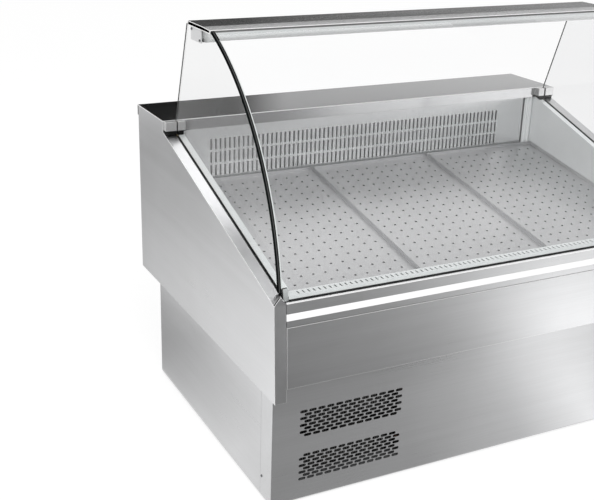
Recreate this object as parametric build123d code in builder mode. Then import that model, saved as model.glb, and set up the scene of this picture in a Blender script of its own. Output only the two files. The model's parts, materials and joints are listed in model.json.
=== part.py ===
from build123d import *
import math
import os

os.makedirs("parts", exist_ok=True)

# Driving dimensions in millimetres; +X runs along the counter, +Y to the operator's side, +Z up.
LENGTH = 1500.0
END_X = LENGTH / 2
PANEL_WIDTH = 34.0
INNER_X = END_X - PANEL_WIDTH
PANEL_FRONT = -530.0
PANEL_REAR = 528.0
PANEL_BOTTOM = 392.0
BODY_BOTTOM = 428.0
SHEET = 1.5

STRIP_FRONT_Z = 660.0
STRIP_RISE = 0.3153

WORKTOP_Z = 955.0
WORKTOP_FRONT = 292.0
WORKTOP_REAR = 536.0
WORKTOP_SHEET = 2.0
FASCIA_Z = 920.0

FRONT_LEAN = 16.0 / 268.0
FACE_OUT = 1.5
RAIL_DEPTH = 9.0
RAIL_BOTTOM = 603.5
RAIL_TOP = 669.0
BUMPER_LOW = 620.0
BUMPER_HIGH = 639.5
GUTTER_Z = 615.0

PLINTH_X = 707.0
PLINTH_FRONT = -428.0
PLINTH_REAR = 474.0
PLINTH_LOW = 5.0
PLINTH_HIGH = 427.0
PLINTH_RETURN = 72.0

TUB_X = 684.0
TUB_FRONT = -455.0
TUB_REAR = 468.0
TUB_FLOOR = 480.0

BEND_Y = 278.0
BEND_Z = 580.0
GLASS_OUTER_R = 762.0
GLASS = 8.0
GLASS_INNER_R = GLASS_OUTER_R - GLASS
GLASS_FOOT_DEG = 4.6
GLASS_TOP_DEG = 66.3
HINGE_Y = -482.0
HINGE_Z = 628.0

TOP_BAR_LOW = 1268.0
TOP_BAR_HIGH = 1280.0
END_GLASS_X = 705.0

DECK_RISE_DEG = 9.6
DECK_FRONT_Y = -418.0
DECK_FRONT_Z = 621.0
GRILLE_Y = 304.0

TUBE = 30.0
FRAME_LOW = 36.0
FRAME_X = 704.0
FRAME_FRONT = -425.0
FRAME_REAR = 470.0

UNIT_X = -447.0
UNIT_Z = 187.0
REAR_Y = 508.5
CONTROL_X = 470.0
CONTROL_Z = 845.0


def strip_z(y):
    """Height of the sloping strip of the end panels at depth y."""
    return STRIP_FRONT_Z + STRIP_RISE * (y - PANEL_FRONT)


def front_y(z):
    """Depth of the leaning front of the end panels at height z."""
    return PANEL_FRONT + FRONT_LEAN * (z - PANEL_BOTTOM)


def on_face(depth, z):
    """Point behind the leaning face of apron and rail, as depth and height."""
    return (front_y(z) - FACE_OUT + depth, z)


def bend_point(radius, degrees):
    """Point of the bent front glass, as depth and height, at an angle above the horizontal."""
    angle = math.radians(degrees)
    return (BEND_Y - radius * math.cos(angle), BEND_Z + radius * math.sin(angle))


def slab(x0, x1, y0, y1, z0, z1, mode=Mode.ADD):
    """Rectangular block between two corners, in the part being built."""
    with Locations(((x0 + x1) / 2, (y0 + y1) / 2, (z0 + z1) / 2)):
        Box(x1 - x0, y1 - y0, z1 - z0, mode=mode)


def bent_path(points, radius):
    """Pipe run through the points with a quarter bend at every corner."""
    start = Vector(*points[0])
    for before, corner, after in zip(points, points[1:], points[2:]):
        turn = Vector(*corner)
        run_in = (turn - Vector(*before)).normalized()
        run_out = (Vector(*after) - turn).normalized()
        bend_start = turn - run_in * radius
        bend_end = turn + run_out * radius
        centre = turn - run_in * radius + run_out * radius
        middle = centre + (turn - centre).normalized() * radius
        Line(start, bend_start)
        ThreePointArc(bend_start, middle, bend_end)
        start = bend_end
    Line(start, Vector(*points[-1]))


# Base frame of welded square tube, standing on six feet
LONG_Y = (FRAME_FRONT + TUBE / 2, FRAME_REAR - TUBE / 2)
CROSS_X = (-FRAME_X + TUBE / 2, -610.0, -290.0, 0.0, FRAME_X - TUBE / 2)
TOP_CROSS_X = (-FRAME_X + TUBE / 2, 0.0, FRAME_X - TUBE / 2)
FRAME_HIGH = BODY_BOTTOM
WALL = 2.0

with BuildPart() as base_frame:
    with BuildSketch(Plane.YZ.offset(-FRAME_X)):
        with Locations(*[(y, z) for y in LONG_Y for z in (FRAME_LOW + TUBE / 2, FRAME_HIGH - TUBE / 2)]):
            Rectangle(TUBE, TUBE)
            Rectangle(TUBE - 2 * WALL, TUBE - 2 * WALL, mode=Mode.SUBTRACT)
    extrude(amount=2 * FRAME_X)
    with BuildSketch(Plane.XY.offset(FRAME_LOW + TUBE)):
        with Locations(*[(x, y) for x in TOP_CROSS_X for y in LONG_Y]):
            Rectangle(TUBE, TUBE)
            Rectangle(TUBE - 2 * WALL, TUBE - 2 * WALL, mode=Mode.SUBTRACT)
    extrude(amount=FRAME_HIGH - FRAME_LOW - 2 * TUBE)
    with BuildSketch(Plane.XZ.offset(-LONG_Y[0] - TUBE / 2)):
        with Locations(*[(x, FRAME_LOW + TUBE / 2) for x in CROSS_X]):
            Rectangle(TUBE, TUBE)
            Rectangle(TUBE - 2 * WALL, TUBE - 2 * WALL, mode=Mode.SUBTRACT)
        with Locations(*[(x, FRAME_HIGH - TUBE / 2) for x in TOP_CROSS_X]):
            Rectangle(TUBE, TUBE)
            Rectangle(TUBE - 2 * WALL, TUBE - 2 * WALL, mode=Mode.SUBTRACT)
    extrude(amount=LONG_Y[0] - LONG_Y[1] + TUBE)
base_frame.part.label = "base_frame"
export_step(base_frame.part, "parts/base_frame.step")

FOOT_INSET = 6.0
FOOT_SPOTS = [(x, y, 0) for x in (-640.0, 0.0, 640.0) for y in (LONG_Y[0] + FOOT_INSET, LONG_Y[1] - FOOT_INSET)]
UPRIGHT = (Align.CENTER, Align.CENTER, Align.MIN)
with BuildPart() as levelling_feet:
    with Locations(*FOOT_SPOTS):
        Cylinder(14, 5, align=UPRIGHT)
        with Locations((0, 0, 5)):
            Cone(14, 9, 6, align=UPRIGHT)
        with Locations((0, 0, 11)):
            Cylinder(6, FRAME_LOW - 11, align=UPRIGHT)
        with Locations((0, 0, 22)):
            Cylinder(10, 7, align=UPRIGHT)
levelling_feet.part.label = "levelling_feet"
export_step(levelling_feet.part, "parts/levelling_feet.step")

# Plinth panels
SLOT_LENGTH = 23.0
SLOT_HEIGHT = 8.8
SLOT_PITCH = 28.2
VENT_X = -454.8
ROW_PITCH = 10.9
VENT_FIELDS = ((288.0, 12), (146.5, 11))

with BuildPart() as plinth_front_panel:
    slab(-PLINTH_X, PLINTH_X, PLINTH_FRONT, PLINTH_FRONT + PLINTH_RETURN, PLINTH_LOW, PLINTH_HIGH)
    fillet(plinth_front_panel.edges().filter_by(Axis.Z).sort_by(Axis.Y)[:2], radius=3.0)
    slab(-PLINTH_X + SHEET, PLINTH_X - SHEET, PLINTH_FRONT + SHEET, PLINTH_FRONT + PLINTH_RETURN,
         PLINTH_LOW, PLINTH_HIGH, Mode.SUBTRACT)
    with BuildSketch(Plane.XZ.offset(-PLINTH_FRONT)):
        for top_row, first_count in VENT_FIELDS:
            for row in range(8):
                count = first_count if row % 2 == 0 else 23 - first_count
                with Locations((VENT_X, top_row - row * ROW_PITCH)):
                    with GridLocations(SLOT_PITCH, 1, count, 1):
                        SlotOverall(SLOT_LENGTH, SLOT_HEIGHT)
    extrude(amount=-SHEET * 2, mode=Mode.SUBTRACT)
    for z in (68.0, 370.0):
        with Locations(Location((0, PLINTH_FRONT + PLINTH_RETURN - 9, z), (0, 90, 0))):
            Cylinder(2.6, 2 * PLINTH_X + 4, mode=Mode.SUBTRACT)
plinth_front_panel.part.label = "plinth_front_panel"
export_step(plinth_front_panel.part, "parts/plinth_front_panel.step")

for side, sign in (("left", -1), ("right", 1)):
    with BuildPart() as plinth_side:
        inner_face, outer_face = sorted((sign * PLINTH_X, sign * (PLINTH_X - SHEET)))
        side_front = PLINTH_FRONT + PLINTH_RETURN + 0.6
        slab(inner_face, outer_face, side_front, PLINTH_REAR, PLINTH_LOW, PLINTH_HIGH)
    plinth_side.part.label = f"plinth_side_{side}"
    export_step(plinth_side.part, f"parts/plinth_side_{side}.step")

GLAND_X = 560.0
GLAND_Z = 120.0
DRAIN_X = 300.0
DRAIN_Y = 100.0
DRAIN_Z = 120.0
REAR_SCREWS = [(x, z) for x in (-640.0, 0.0, 640.0) for z in (30.0, 405.0)]

with BuildPart() as plinth_rear_panel:
    slab(-PLINTH_X + SHEET + 0.5, PLINTH_X - SHEET - 0.5, PLINTH_REAR - SHEET, PLINTH_REAR,
         PLINTH_LOW, PLINTH_HIGH)
    with BuildSketch(Plane.XZ.offset(-PLINTH_REAR)):
        with Locations((-447, 260), (0, 260)):
            with GridLocations(1, 16, 1, 8):
                SlotOverall(260, 6)
        with Locations((GLAND_X, GLAND_Z)):
            Circle(10.2)
        with Locations((DRAIN_X, DRAIN_Z)):
            Circle(21.0)
        with Locations(*REAR_SCREWS):
            Circle(2.6)
    extrude(amount=SHEET * 2, mode=Mode.SUBTRACT)
plinth_rear_panel.part.label = "plinth_rear_panel"
export_step(plinth_rear_panel.part, "parts/plinth_rear_panel.step")

gland_plane = Plane(origin=(GLAND_X, PLINTH_REAR, GLAND_Z), x_dir=(1, 0, 0), z_dir=(0, 1, 0))
with BuildPart(gland_plane) as mains_gland:
    with BuildSketch(gland_plane):
        RegularPolygon(radius=14, side_count=6)
    extrude(amount=7)
    with Locations((0, 0, 7)):
        Cone(11.5, 7.5, 12, align=UPRIGHT)
    with Locations((0, 0, -14)):
        Cylinder(10, 14, align=UPRIGHT)
    with Locations((0, 0, -SHEET - 6)):
        Cylinder(13, 6, align=UPRIGHT)
    Cylinder(4.2, 80, mode=Mode.SUBTRACT)
mains_gland.part.label = "mains_gland"
export_step(mains_gland.part, "parts/mains_gland.step")

# Condensing unit behind the slots of the plinth
PLATE_Z = FRAME_LOW + TUBE
COIL_Y = -368.0
COIL_X0 = UNIT_X - 164
COIL_X1 = UNIT_X + 164

with BuildPart() as unit_base_plate:
    slab(UNIT_X - 190, UNIT_X + 190, -398, 130, PLATE_Z, PLATE_Z + 14)
    slab(UNIT_X - 188, UNIT_X + 188, -398, 130, PLATE_Z + 2, PLATE_Z + 14, Mode.SUBTRACT)
unit_base_plate.part.label = "unit_base_plate"
export_step(unit_base_plate.part, "parts/unit_base_plate.step")

with BuildPart() as condenser_coil:
    with BuildSketch(Plane.XY.offset(PLATE_Z + 2)):
        with Locations((UNIT_X, COIL_Y)):
            Rectangle(328, 16)
            with GridLocations(8, 1, 39, 1):
                Rectangle(1.4, 50)
    extrude(amount=236)
    for x in (COIL_X0, COIL_X1 - 3):
        slab(x, x + 3, COIL_Y - 27, COIL_Y + 27, PLATE_Z + 2, PLATE_Z + 240)
    with Locations(*[(COIL_X0, COIL_Y, z) for z in (108.0, 158.0, 208.0, 258.0)]):
        Torus(12, 4.5, rotation=(90, 0, 0))
    for z in (92.0, 240.0):
        with Locations(Location((COIL_X1 + 6, COIL_Y, z), (0, 90, 0))):
            Cylinder(8, 12)
condenser_coil.part.label = "condenser_coil"
export_step(condenser_coil.part, "parts/condenser_coil.step")

SHROUD_Y = COIL_Y + 27
with BuildPart() as condenser_shroud:
    slab(COIL_X0, COIL_X1, SHROUD_Y, SHROUD_Y + 22, PLATE_Z + 2, PLATE_Z + 240)
    slab(COIL_X0 + 2, COIL_X1 - 2, SHROUD_Y, SHROUD_Y + 20, PLATE_Z + 4, PLATE_Z + 238, Mode.SUBTRACT)
    with Locations(Location((UNIT_X, SHROUD_Y + 21, UNIT_Z), (90, 0, 0))):
        Cylinder(106, 6, mode=Mode.SUBTRACT)
condenser_shroud.part.label = "condenser_shroud"
export_step(condenser_shroud.part, "parts/condenser_shroud.step")

FAN_Y = SHROUD_Y + 30
with BuildPart(Plane(origin=(UNIT_X, FAN_Y, UNIT_Z), x_dir=(1, 0, 0), z_dir=(0, 1, 0))) as condenser_fan:
    Cylinder(24, 26)
    with PolarLocations(57, 5):
        Box(78, 52, 2.2, rotation=(30, 0, 0))
    with Locations((0, 0, 21)):
        Cylinder(4, 20)
condenser_fan.part.label = "condenser_fan"
export_step(condenser_fan.part, "parts/condenser_fan.step")

MOTOR_Y = FAN_Y + 20
motor_plane = Plane(origin=(UNIT_X, MOTOR_Y, UNIT_Z), x_dir=(1, 0, 0), z_dir=(0, 1, 0))
with BuildPart(motor_plane) as condenser_motor:
    Cylinder(40, 66, align=UPRIGHT)
    fillet(condenser_motor.edges().sort_by(Axis.Y)[-1], radius=8)
    with PolarLocations(75, 3, start_angle=30):
        with Locations((0, 0, 8)):
            Box(86, 12, 6)
    with PolarLocations(114, 3, start_angle=30):
        with Locations((0, 0, 11)):
            Box(8, 12, MOTOR_Y + 11 - SHROUD_Y - 22, align=(Align.CENTER, Align.CENTER, Align.MAX))
    Cylinder(4.05, 13, align=UPRIGHT, mode=Mode.SUBTRACT)
condenser_motor.part.label = "condenser_motor"
export_step(condenser_motor.part, "parts/condenser_motor.step")

with BuildPart() as compressor:
    with BuildSketch(Plane.XZ):
        with BuildLine():
            Polyline((0, 84), (70, 84), (78, 100), (78, 158), (82, 160), (82, 168), (78, 170), (78, 235),
                     (62, 262), (30, 274), (0, 276), close=True)
        make_face()
    revolve(axis=Axis.Z)
    slab(-90, 90, -72, 72, 78, 84)
    with GridLocations(150, 116, 2, 2):
        with Locations((0, 0, PLATE_Z + 2)):
            Cylinder(12, 78 - PLATE_Z - 2, align=UPRIGHT)
    slab(-35, 35, 60, 104, 150, 215)
    with Locations(Location((84, 0, 225), (0, 90, 0))):
        Cylinder(9, 24)
    with Locations(Location((0, -84, 225), (90, 0, 0))):
        Cylinder(8, 24)
    add(compressor.part.moved(Location((UNIT_X, 20, 0))), mode=Mode.REPLACE)
compressor.part.label = "compressor"
export_step(compressor.part, "parts/compressor.step")

SUCTION_X = -600.0
SUCTION_Y = 400.0
LIQUID_X = -630.0
LIQUID_Y = 425.0
PIPE_RUNS = {
    "suction_line": (8.0, 26.0, [(UNIT_X + 96, 20, 225), (UNIT_X + 150, 20, 225), (UNIT_X + 150, 250, 225),
                                 (SUCTION_X, 250, 225), (SUCTION_X, SUCTION_Y, 225),
                                 (SUCTION_X, SUCTION_Y, 600), (-556, SUCTION_Y, 600)]),
    "liquid_line": (5.0, 18.0, [(COIL_X1 + 12, COIL_Y, 92), (COIL_X1 + 60, COIL_Y, 92),
                                (COIL_X1 + 60, 300, 92), (LIQUID_X, 300, 92), (LIQUID_X, LIQUID_Y, 92),
                                (LIQUID_X, LIQUID_Y, 640), (-556, LIQUID_Y, 640)]),
    "discharge_line": (6.0, 20.0, [(UNIT_X, -76, 225), (UNIT_X, -130, 225), (COIL_X1 + 50, -130, 225),
                                   (COIL_X1 + 50, -130, 290), (COIL_X1 + 50, COIL_Y, 290),
                                   (COIL_X1 + 50, COIL_Y, 240), (COIL_X1 + 12, COIL_Y, 240)]),
}
for pipe_name, (pipe_radius, bend_radius, corners) in PIPE_RUNS.items():
    with BuildPart() as pipe:
        with BuildLine() as run:
            bent_path(corners, bend_radius)
        with BuildSketch(Plane(origin=run.line @ 0, z_dir=run.line % 0)):
            Circle(pipe_radius)
            Circle(pipe_radius - 1, mode=Mode.SUBTRACT)
        sweep()
    pipe.part.label = pipe_name
    export_step(pipe.part, f"parts/{pipe_name}.step")

# Insulated body
with BuildPart() as body_floor_pan:
    slab(-INNER_X + 1, INNER_X - 1, -520, REAR_Y - 0.5, BODY_BOTTOM, BODY_BOTTOM + SHEET)
    with BuildSketch(Plane.XY.offset(BODY_BOTTOM)):
        with Locations((DRAIN_X, DRAIN_Y)):
            Circle(24)
        with Locations((SUCTION_X, SUCTION_Y)):
            Circle(11)
        with Locations((LIQUID_X, LIQUID_Y)):
            Circle(8)
    extrude(amount=SHEET * 2, mode=Mode.SUBTRACT)
body_floor_pan.part.label = "body_floor_pan"
export_step(body_floor_pan.part, "parts/body_floor_pan.step")

POST_TOP_Y = PANEL_FRONT + FRONT_LEAN * (STRIP_FRONT_Z - PANEL_BOTTOM) / (1 - FRONT_LEAN * STRIP_RISE)
POST_TOP_Z = strip_z(POST_TOP_Y)
CASING = [(PANEL_FRONT, PANEL_BOTTOM), (PANEL_REAR, PANEL_BOTTOM), (PANEL_REAR, WORKTOP_Z - WORKTOP_SHEET),
          (WORKTOP_FRONT + WORKTOP_SHEET, WORKTOP_Z - WORKTOP_SHEET),
          (WORKTOP_FRONT + WORKTOP_SHEET, strip_z(WORKTOP_FRONT + WORKTOP_SHEET)),
          (POST_TOP_Y, POST_TOP_Z)]
FOAM_MOUTH = [(front_y(BODY_BOTTOM) + 18, BODY_BOTTOM + 4), (REAR_Y - 2, BODY_BOTTOM + 4), (REAR_Y - 2, 948), (300, 948),
              (300, strip_z(300) - 26), (TUB_FRONT + 5, strip_z(TUB_FRONT + 5) - 26), (TUB_FRONT + 5, 606),
              (front_y(606) + 18, 606)]
POINT_HEIGHT = 21.0
POINT_SHEET = 3.0
POINT_X = (END_X + INNER_X) / 2

for side, sign in (("left", -1), ("right", 1)):
    outward = Plane(origin=(sign * INNER_X, 0, 0), x_dir=(0, 1, 0), z_dir=(1, 0, 0))
    with BuildPart() as end_panel:
        with BuildSketch(outward):
            with BuildLine():
                Polyline(*CASING, close=True)
            make_face()
        extrude(amount=sign * PANEL_WIDTH)
        with BuildSketch(outward.offset(sign * SHEET)):
            with BuildLine():
                Polyline(*CASING, close=True)
            make_face()
            offset(amount=-SHEET)
        extrude(amount=sign * (PANEL_WIDTH - 2 * SHEET), mode=Mode.SUBTRACT)
        with BuildSketch(outward):
            with BuildLine():
                Polyline(*FOAM_MOUTH, close=True)
            make_face()
        extrude(amount=sign * SHEET * 2, mode=Mode.SUBTRACT)
        with BuildSketch(Plane.XZ.offset(-POST_TOP_Y)):
            with BuildLine():
                Polyline((sign * END_X, POST_TOP_Z - 0.8), (sign * INNER_X, POST_TOP_Z - 0.8),
                         (sign * POINT_X, POST_TOP_Z + POINT_HEIGHT), close=True)
            make_face()
        extrude(amount=-POINT_SHEET)
    end_panel.part.label = f"end_panel_{side}"
    export_step(end_panel.part, f"parts/end_panel_{side}.step")

BOX_W = 196.0
BOX_H = 76.0
with BuildPart() as insulation:
    with BuildSketch(Plane.YZ):
        with BuildLine():
            Polyline((front_y(BODY_BOTTOM) + 14.5, BODY_BOTTOM + SHEET), (REAR_Y, BODY_BOTTOM + SHEET),
                     (REAR_Y, 952), (296, 952), (296, strip_z(296) - 22),
                     (TUB_FRONT + 3, strip_z(TUB_FRONT + 3) - 22), (TUB_FRONT + 3, 610),
                     (front_y(610) + 14.5, 610), close=True)
        make_face()
    extrude(amount=INNER_X, both=True)
    slab(-TUB_X - 2, TUB_X + 2, TUB_FRONT - 2, TUB_REAR + 2, TUB_FLOOR - 2, 1100, Mode.SUBTRACT)
    for sign in (-1, 1):
        with BuildSketch(Plane.YZ.offset(sign * INNER_X)):
            with BuildLine():
                Polyline(*FOAM_MOUTH, close=True)
            make_face()
            offset(amount=-0.5)
        extrude(amount=sign * SHEET * 2)
        with BuildSketch(Plane.YZ.offset(sign * (INNER_X + SHEET + 0.5))):
            with BuildLine():
                Polyline(*CASING, close=True)
            make_face()
            offset(amount=-SHEET - 0.5)
        extrude(amount=sign * (PANEL_WIDTH - 2 * SHEET - 1))
    slab(CONTROL_X - BOX_W / 2 - 2, CONTROL_X + BOX_W / 2 + 2, TUB_REAR, REAR_Y,
         CONTROL_Z - BOX_H / 2 - 2, CONTROL_Z + BOX_H / 2 + 2, Mode.SUBTRACT)
    with BuildSketch(Plane.XY.offset(BODY_BOTTOM)):
        with Locations((DRAIN_X, DRAIN_Y)):
            Circle(24)
        with Locations((SUCTION_X, SUCTION_Y)):
            Circle(11)
        with Locations((LIQUID_X, LIQUID_Y)):
            Circle(8)
    extrude(amount=60, mode=Mode.SUBTRACT)
insulation.part.label = "insulation"
export_step(insulation.part, "parts/insulation.step")

FLANGE = 19.3
with BuildPart() as tub_liner:
    with BuildSketch(Plane.YZ):
        with BuildLine():
            Polyline((TUB_FRONT - SHEET, TUB_FLOOR - SHEET), (TUB_REAR + SHEET, TUB_FLOOR - SHEET),
                     (TUB_REAR + SHEET, 952), (296, 952), (296, strip_z(296)),
                     (TUB_FRONT - SHEET, strip_z(TUB_FRONT - SHEET)), close=True)
        make_face()
    extrude(amount=TUB_X + SHEET, both=True)
    slab(-TUB_X, TUB_X, TUB_FRONT, TUB_REAR, TUB_FLOOR, 1100, Mode.SUBTRACT)
    slab(-TUB_X, TUB_X, TUB_FRONT - 4, TUB_FRONT + 4, 655, 1100, Mode.SUBTRACT)
    for sign in (-1, 1):
        with BuildSketch(Plane.YZ.offset(sign * TUB_X)):
            with BuildLine():
                Polyline((-450, strip_z(-450) - SHEET), (291, strip_z(291) - SHEET), (291, strip_z(291)),
                         (-450, strip_z(-450)), close=True)
            make_face()
        extrude(amount=sign * FLANGE)
        plate_in, plate_out = sorted((sign * TUB_X, sign * (TUB_X + FLANGE)))
        slab(plate_in, plate_out, TUB_FRONT - SHEET, TUB_FRONT, 616, strip_z(TUB_FRONT - SHEET))
    with BuildSketch(Plane.XY.offset(TUB_FLOOR)):
        with Locations((DRAIN_X, DRAIN_Y)):
            Circle(20.5)
        with Locations((SUCTION_X, SUCTION_Y)):
            Circle(11)
        with Locations((LIQUID_X, LIQUID_Y)):
            Circle(8)
    extrude(amount=-SHEET * 2, mode=Mode.SUBTRACT)
tub_liner.part.label = "tub_liner"
export_step(tub_liner.part, "parts/tub_liner.step")

with BuildPart() as rear_panel:
    slab(-INNER_X + 0.4, INNER_X - 0.4, REAR_Y, REAR_Y + SHEET, BODY_BOTTOM + 2, 952)
    slab(CONTROL_X - BOX_W / 2 - 2, CONTROL_X + BOX_W / 2 + 2, REAR_Y - 1, REAR_Y + 5,
         CONTROL_Z - BOX_H / 2 - 2, CONTROL_Z + BOX_H / 2 + 2, Mode.SUBTRACT)
rear_panel.part.label = "rear_panel"
export_step(rear_panel.part, "parts/rear_panel.step")

# Front of the body
APRON_LOW = BODY_BOTTOM + 2
APRON_HIGH = RAIL_BOTTOM - 1.5
APRON_X = INNER_X - 0.6
with BuildPart() as front_apron:
    with BuildSketch(Plane.YZ):
        with BuildLine():
            Polyline(on_face(0, APRON_LOW), on_face(0, APRON_HIGH), on_face(15, APRON_HIGH),
                     on_face(15, APRON_LOW), close=True)
        make_face()
    extrude(amount=APRON_X, both=True)
    fillet(front_apron.faces().sort_by(Axis.Y)[0].edges(), radius=1.2)
    with BuildSketch(Plane.YZ):
        with BuildLine():
            Polyline(on_face(SHEET, APRON_LOW + SHEET), on_face(SHEET, APRON_HIGH - SHEET),
                     on_face(16, APRON_HIGH - SHEET), on_face(16, APRON_LOW + SHEET), close=True)
        make_face()
    extrude(amount=APRON_X - SHEET, both=True, mode=Mode.SUBTRACT)
front_apron.part.label = "front_apron"
export_step(front_apron.part, "parts/front_apron.step")

BUMPER_SEAT = 5.0
with BuildPart() as front_rail:
    with BuildSketch(Plane.YZ) as rail_profile:
        with BuildLine():
            Polyline(on_face(0, RAIL_BOTTOM), on_face(0, BUMPER_LOW), on_face(BUMPER_SEAT, BUMPER_LOW),
                     on_face(BUMPER_SEAT, BUMPER_HIGH), on_face(0, BUMPER_HIGH), on_face(0, RAIL_TOP),
                     on_face(RAIL_DEPTH, RAIL_TOP), on_face(RAIL_DEPTH, GUTTER_Z), (TUB_FRONT - 5.5, GUTTER_Z),
                     (TUB_FRONT - 5.5, 650), (TUB_FRONT - 2.5, 650), (TUB_FRONT - 2.5, GUTTER_Z - 3),
                     on_face(RAIL_DEPTH, GUTTER_Z - 3), on_face(RAIL_DEPTH, RAIL_BOTTOM), close=True)
        make_face()
        fillet(rail_profile.vertices().group_by(Axis.Y)[-1], radius=2.5)
    extrude(amount=APRON_X, both=True)
front_rail.part.label = "front_rail"
export_step(front_rail.part, "parts/front_rail.step")

with BuildPart() as bumper_strip:
    with BuildSketch(Plane.YZ) as bumper_profile:
        with BuildLine():
            Polyline(on_face(-1, BUMPER_LOW + 0.3), on_face(-1, BUMPER_HIGH - 0.3),
                     on_face(BUMPER_SEAT, BUMPER_HIGH - 0.3), on_face(BUMPER_SEAT, BUMPER_LOW + 0.3), close=True)
        make_face()
        fillet(bumper_profile.vertices().sort_by(Axis.X)[:2], radius=1.0)
    extrude(amount=APRON_X, both=True)
bumper_strip.part.label = "bumper_strip"
export_step(bumper_strip.part, "parts/bumper_strip.step")

# Worktop on the operator's side
with BuildPart() as worktop:
    with BuildSketch(Plane.YZ) as worktop_profile:
        with BuildLine():
            Polyline((WORKTOP_FRONT, FASCIA_Z), (WORKTOP_FRONT, WORKTOP_Z), (WORKTOP_REAR, WORKTOP_Z),
                     (WORKTOP_REAR, FASCIA_Z), (PANEL_REAR + 1, FASCIA_Z), (PANEL_REAR + 1, FASCIA_Z + 2),
                     (WORKTOP_REAR - 2, FASCIA_Z + 2), (WORKTOP_REAR - 2, WORKTOP_Z - 2),
                     (WORKTOP_FRONT + 2, WORKTOP_Z - 2), (WORKTOP_FRONT + 2, FASCIA_Z), close=True)
        make_face()
        fillet(worktop_profile.vertices().group_by(Axis.Y)[-1].sort_by(Axis.X)[-1], radius=7)
        fillet(worktop_profile.vertices().group_by(Axis.Y)[-1].sort_by(Axis.X)[0], radius=1.8)
        fillet(worktop_profile.vertices().group_by(Axis.X)[-2].group_by(Axis.Y)[-1], radius=5)
    extrude(amount=END_X, both=True)
worktop.part.label = "worktop"
export_step(worktop.part, "parts/worktop.step")

# Drain of the well
with BuildPart() as drain_outlet:
    with Locations((DRAIN_X, DRAIN_Y, TUB_FLOOR)):
        Cylinder(34, 2.5, align=UPRIGHT)
        Cylinder(20, 60, align=(Align.CENTER, Align.CENTER, Align.MAX))
        with Locations((0, 0, 1)):
            Cylinder(17.5, 80, align=(Align.CENTER, Align.CENTER, Align.MAX), mode=Mode.SUBTRACT)
        with PolarLocations(11, 8):
            Cylinder(2.4, 20, mode=Mode.SUBTRACT)
drain_outlet.part.label = "drain_outlet"
export_step(drain_outlet.part, "parts/drain_outlet.step")

with BuildPart() as drain_pipe:
    with BuildLine() as drain_run:
        bent_path([(DRAIN_X, DRAIN_Y, TUB_FLOOR - 60), (DRAIN_X, DRAIN_Y, DRAIN_Z),
                   (DRAIN_X, PLINTH_REAR + 18, DRAIN_Z)], 45)
    with BuildSketch(Plane(origin=drain_run.line @ 0, z_dir=drain_run.line % 0)):
        Circle(20)
        Circle(17.5, mode=Mode.SUBTRACT)
    sweep()
drain_pipe.part.label = "drain_pipe"
export_step(drain_pipe.part, "parts/drain_pipe.step")

# Air wall, fans and evaporator at the back of the well
AIR_ROWS = (862.0, 819.0, 776.0)
GRILLE_LOW = 745.0
with BuildPart() as air_grille:
    slab(-TUB_X + 2, 640, GRILLE_Y, GRILLE_Y + SHEET, GRILLE_LOW, 950)
    with BuildSketch(Plane.XZ.offset(-GRILLE_Y)):
        for row_z in AIR_ROWS:
            with Locations((-30, row_z)):
                with GridLocations(16, 1, 70, 1):
                    SlotOverall(36, 6, rotation=90)
    extrude(amount=-SHEET * 2, mode=Mode.SUBTRACT)
air_grille.part.label = "air_grille"
export_step(air_grille.part, "parts/air_grille.step")

with BuildPart() as corner_cover:
    slab(648, TUB_X - 2, GRILLE_Y, GRILLE_Y + SHEET, GRILLE_LOW, 950)
    with Locations((657, GRILLE_Y, GRILLE_LOW), (672, GRILLE_Y, GRILLE_LOW)):
        Cylinder(5, 205, align=UPRIGHT)
    slab(640, TUB_X, GRILLE_Y + SHEET, GRILLE_Y + 10, GRILLE_LOW, 950, Mode.SUBTRACT)
corner_cover.part.label = "corner_cover"
export_step(corner_cover.part, "parts/corner_cover.step")

AIR_FAN_X = 260.0
AIR_FAN_Z = 600.0
with BuildPart() as fan_plate:
    slab(-TUB_X + 2, TUB_X - 2, GRILLE_Y, GRILLE_Y + SHEET, TUB_FLOOR, 742)
    with BuildSketch(Plane.XZ.offset(-GRILLE_Y)):
        with Locations((-AIR_FAN_X, AIR_FAN_Z), (AIR_FAN_X, AIR_FAN_Z)):
            Circle(92)
    extrude(amount=-SHEET * 2, mode=Mode.SUBTRACT)
fan_plate.part.label = "fan_plate"
export_step(fan_plate.part, "parts/fan_plate.step")

with BuildPart() as evaporator_coil:
    with BuildSketch(Plane.XY.offset(520)):
        with Locations((0, 400)):
            Rectangle(1080, 24)
            with GridLocations(12, 1, 89, 1):
                Rectangle(1.6, 84)
    extrude(amount=200)
    for x in (-543, 540):
        slab(x, x + 3, 355, 445, TUB_FLOOR, 724)
    with Locations(Location((-549.5, SUCTION_Y, 600), (0, 90, 0))):
        Cylinder(11, 13)
    with Locations(Location((-549.5, LIQUID_Y, 640), (0, 90, 0))):
        Cylinder(8, 13)
evaporator_coil.part.label = "evaporator_coil"
export_step(evaporator_coil.part, "parts/evaporator_coil.step")

BLADE_Y = GRILLE_Y - 9
for side, sign in (("left", -1), ("right", 1)):
    turning = Plane(origin=(sign * AIR_FAN_X, BLADE_Y, AIR_FAN_Z), x_dir=(1, 0, 0), z_dir=(0, 1, 0))
    with BuildPart(turning) as evaporator_fan:
        Cylinder(20, 18)
        with PolarLocations(45, 5):
            Box(62, 46, 2, rotation=(28, 0, 0))
        with Locations((0, 0, -18)):
            Cylinder(4, 20)
    evaporator_fan.part.label = f"evaporator_fan_{side}"
    export_step(evaporator_fan.part, f"parts/evaporator_fan_{side}.step")

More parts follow.
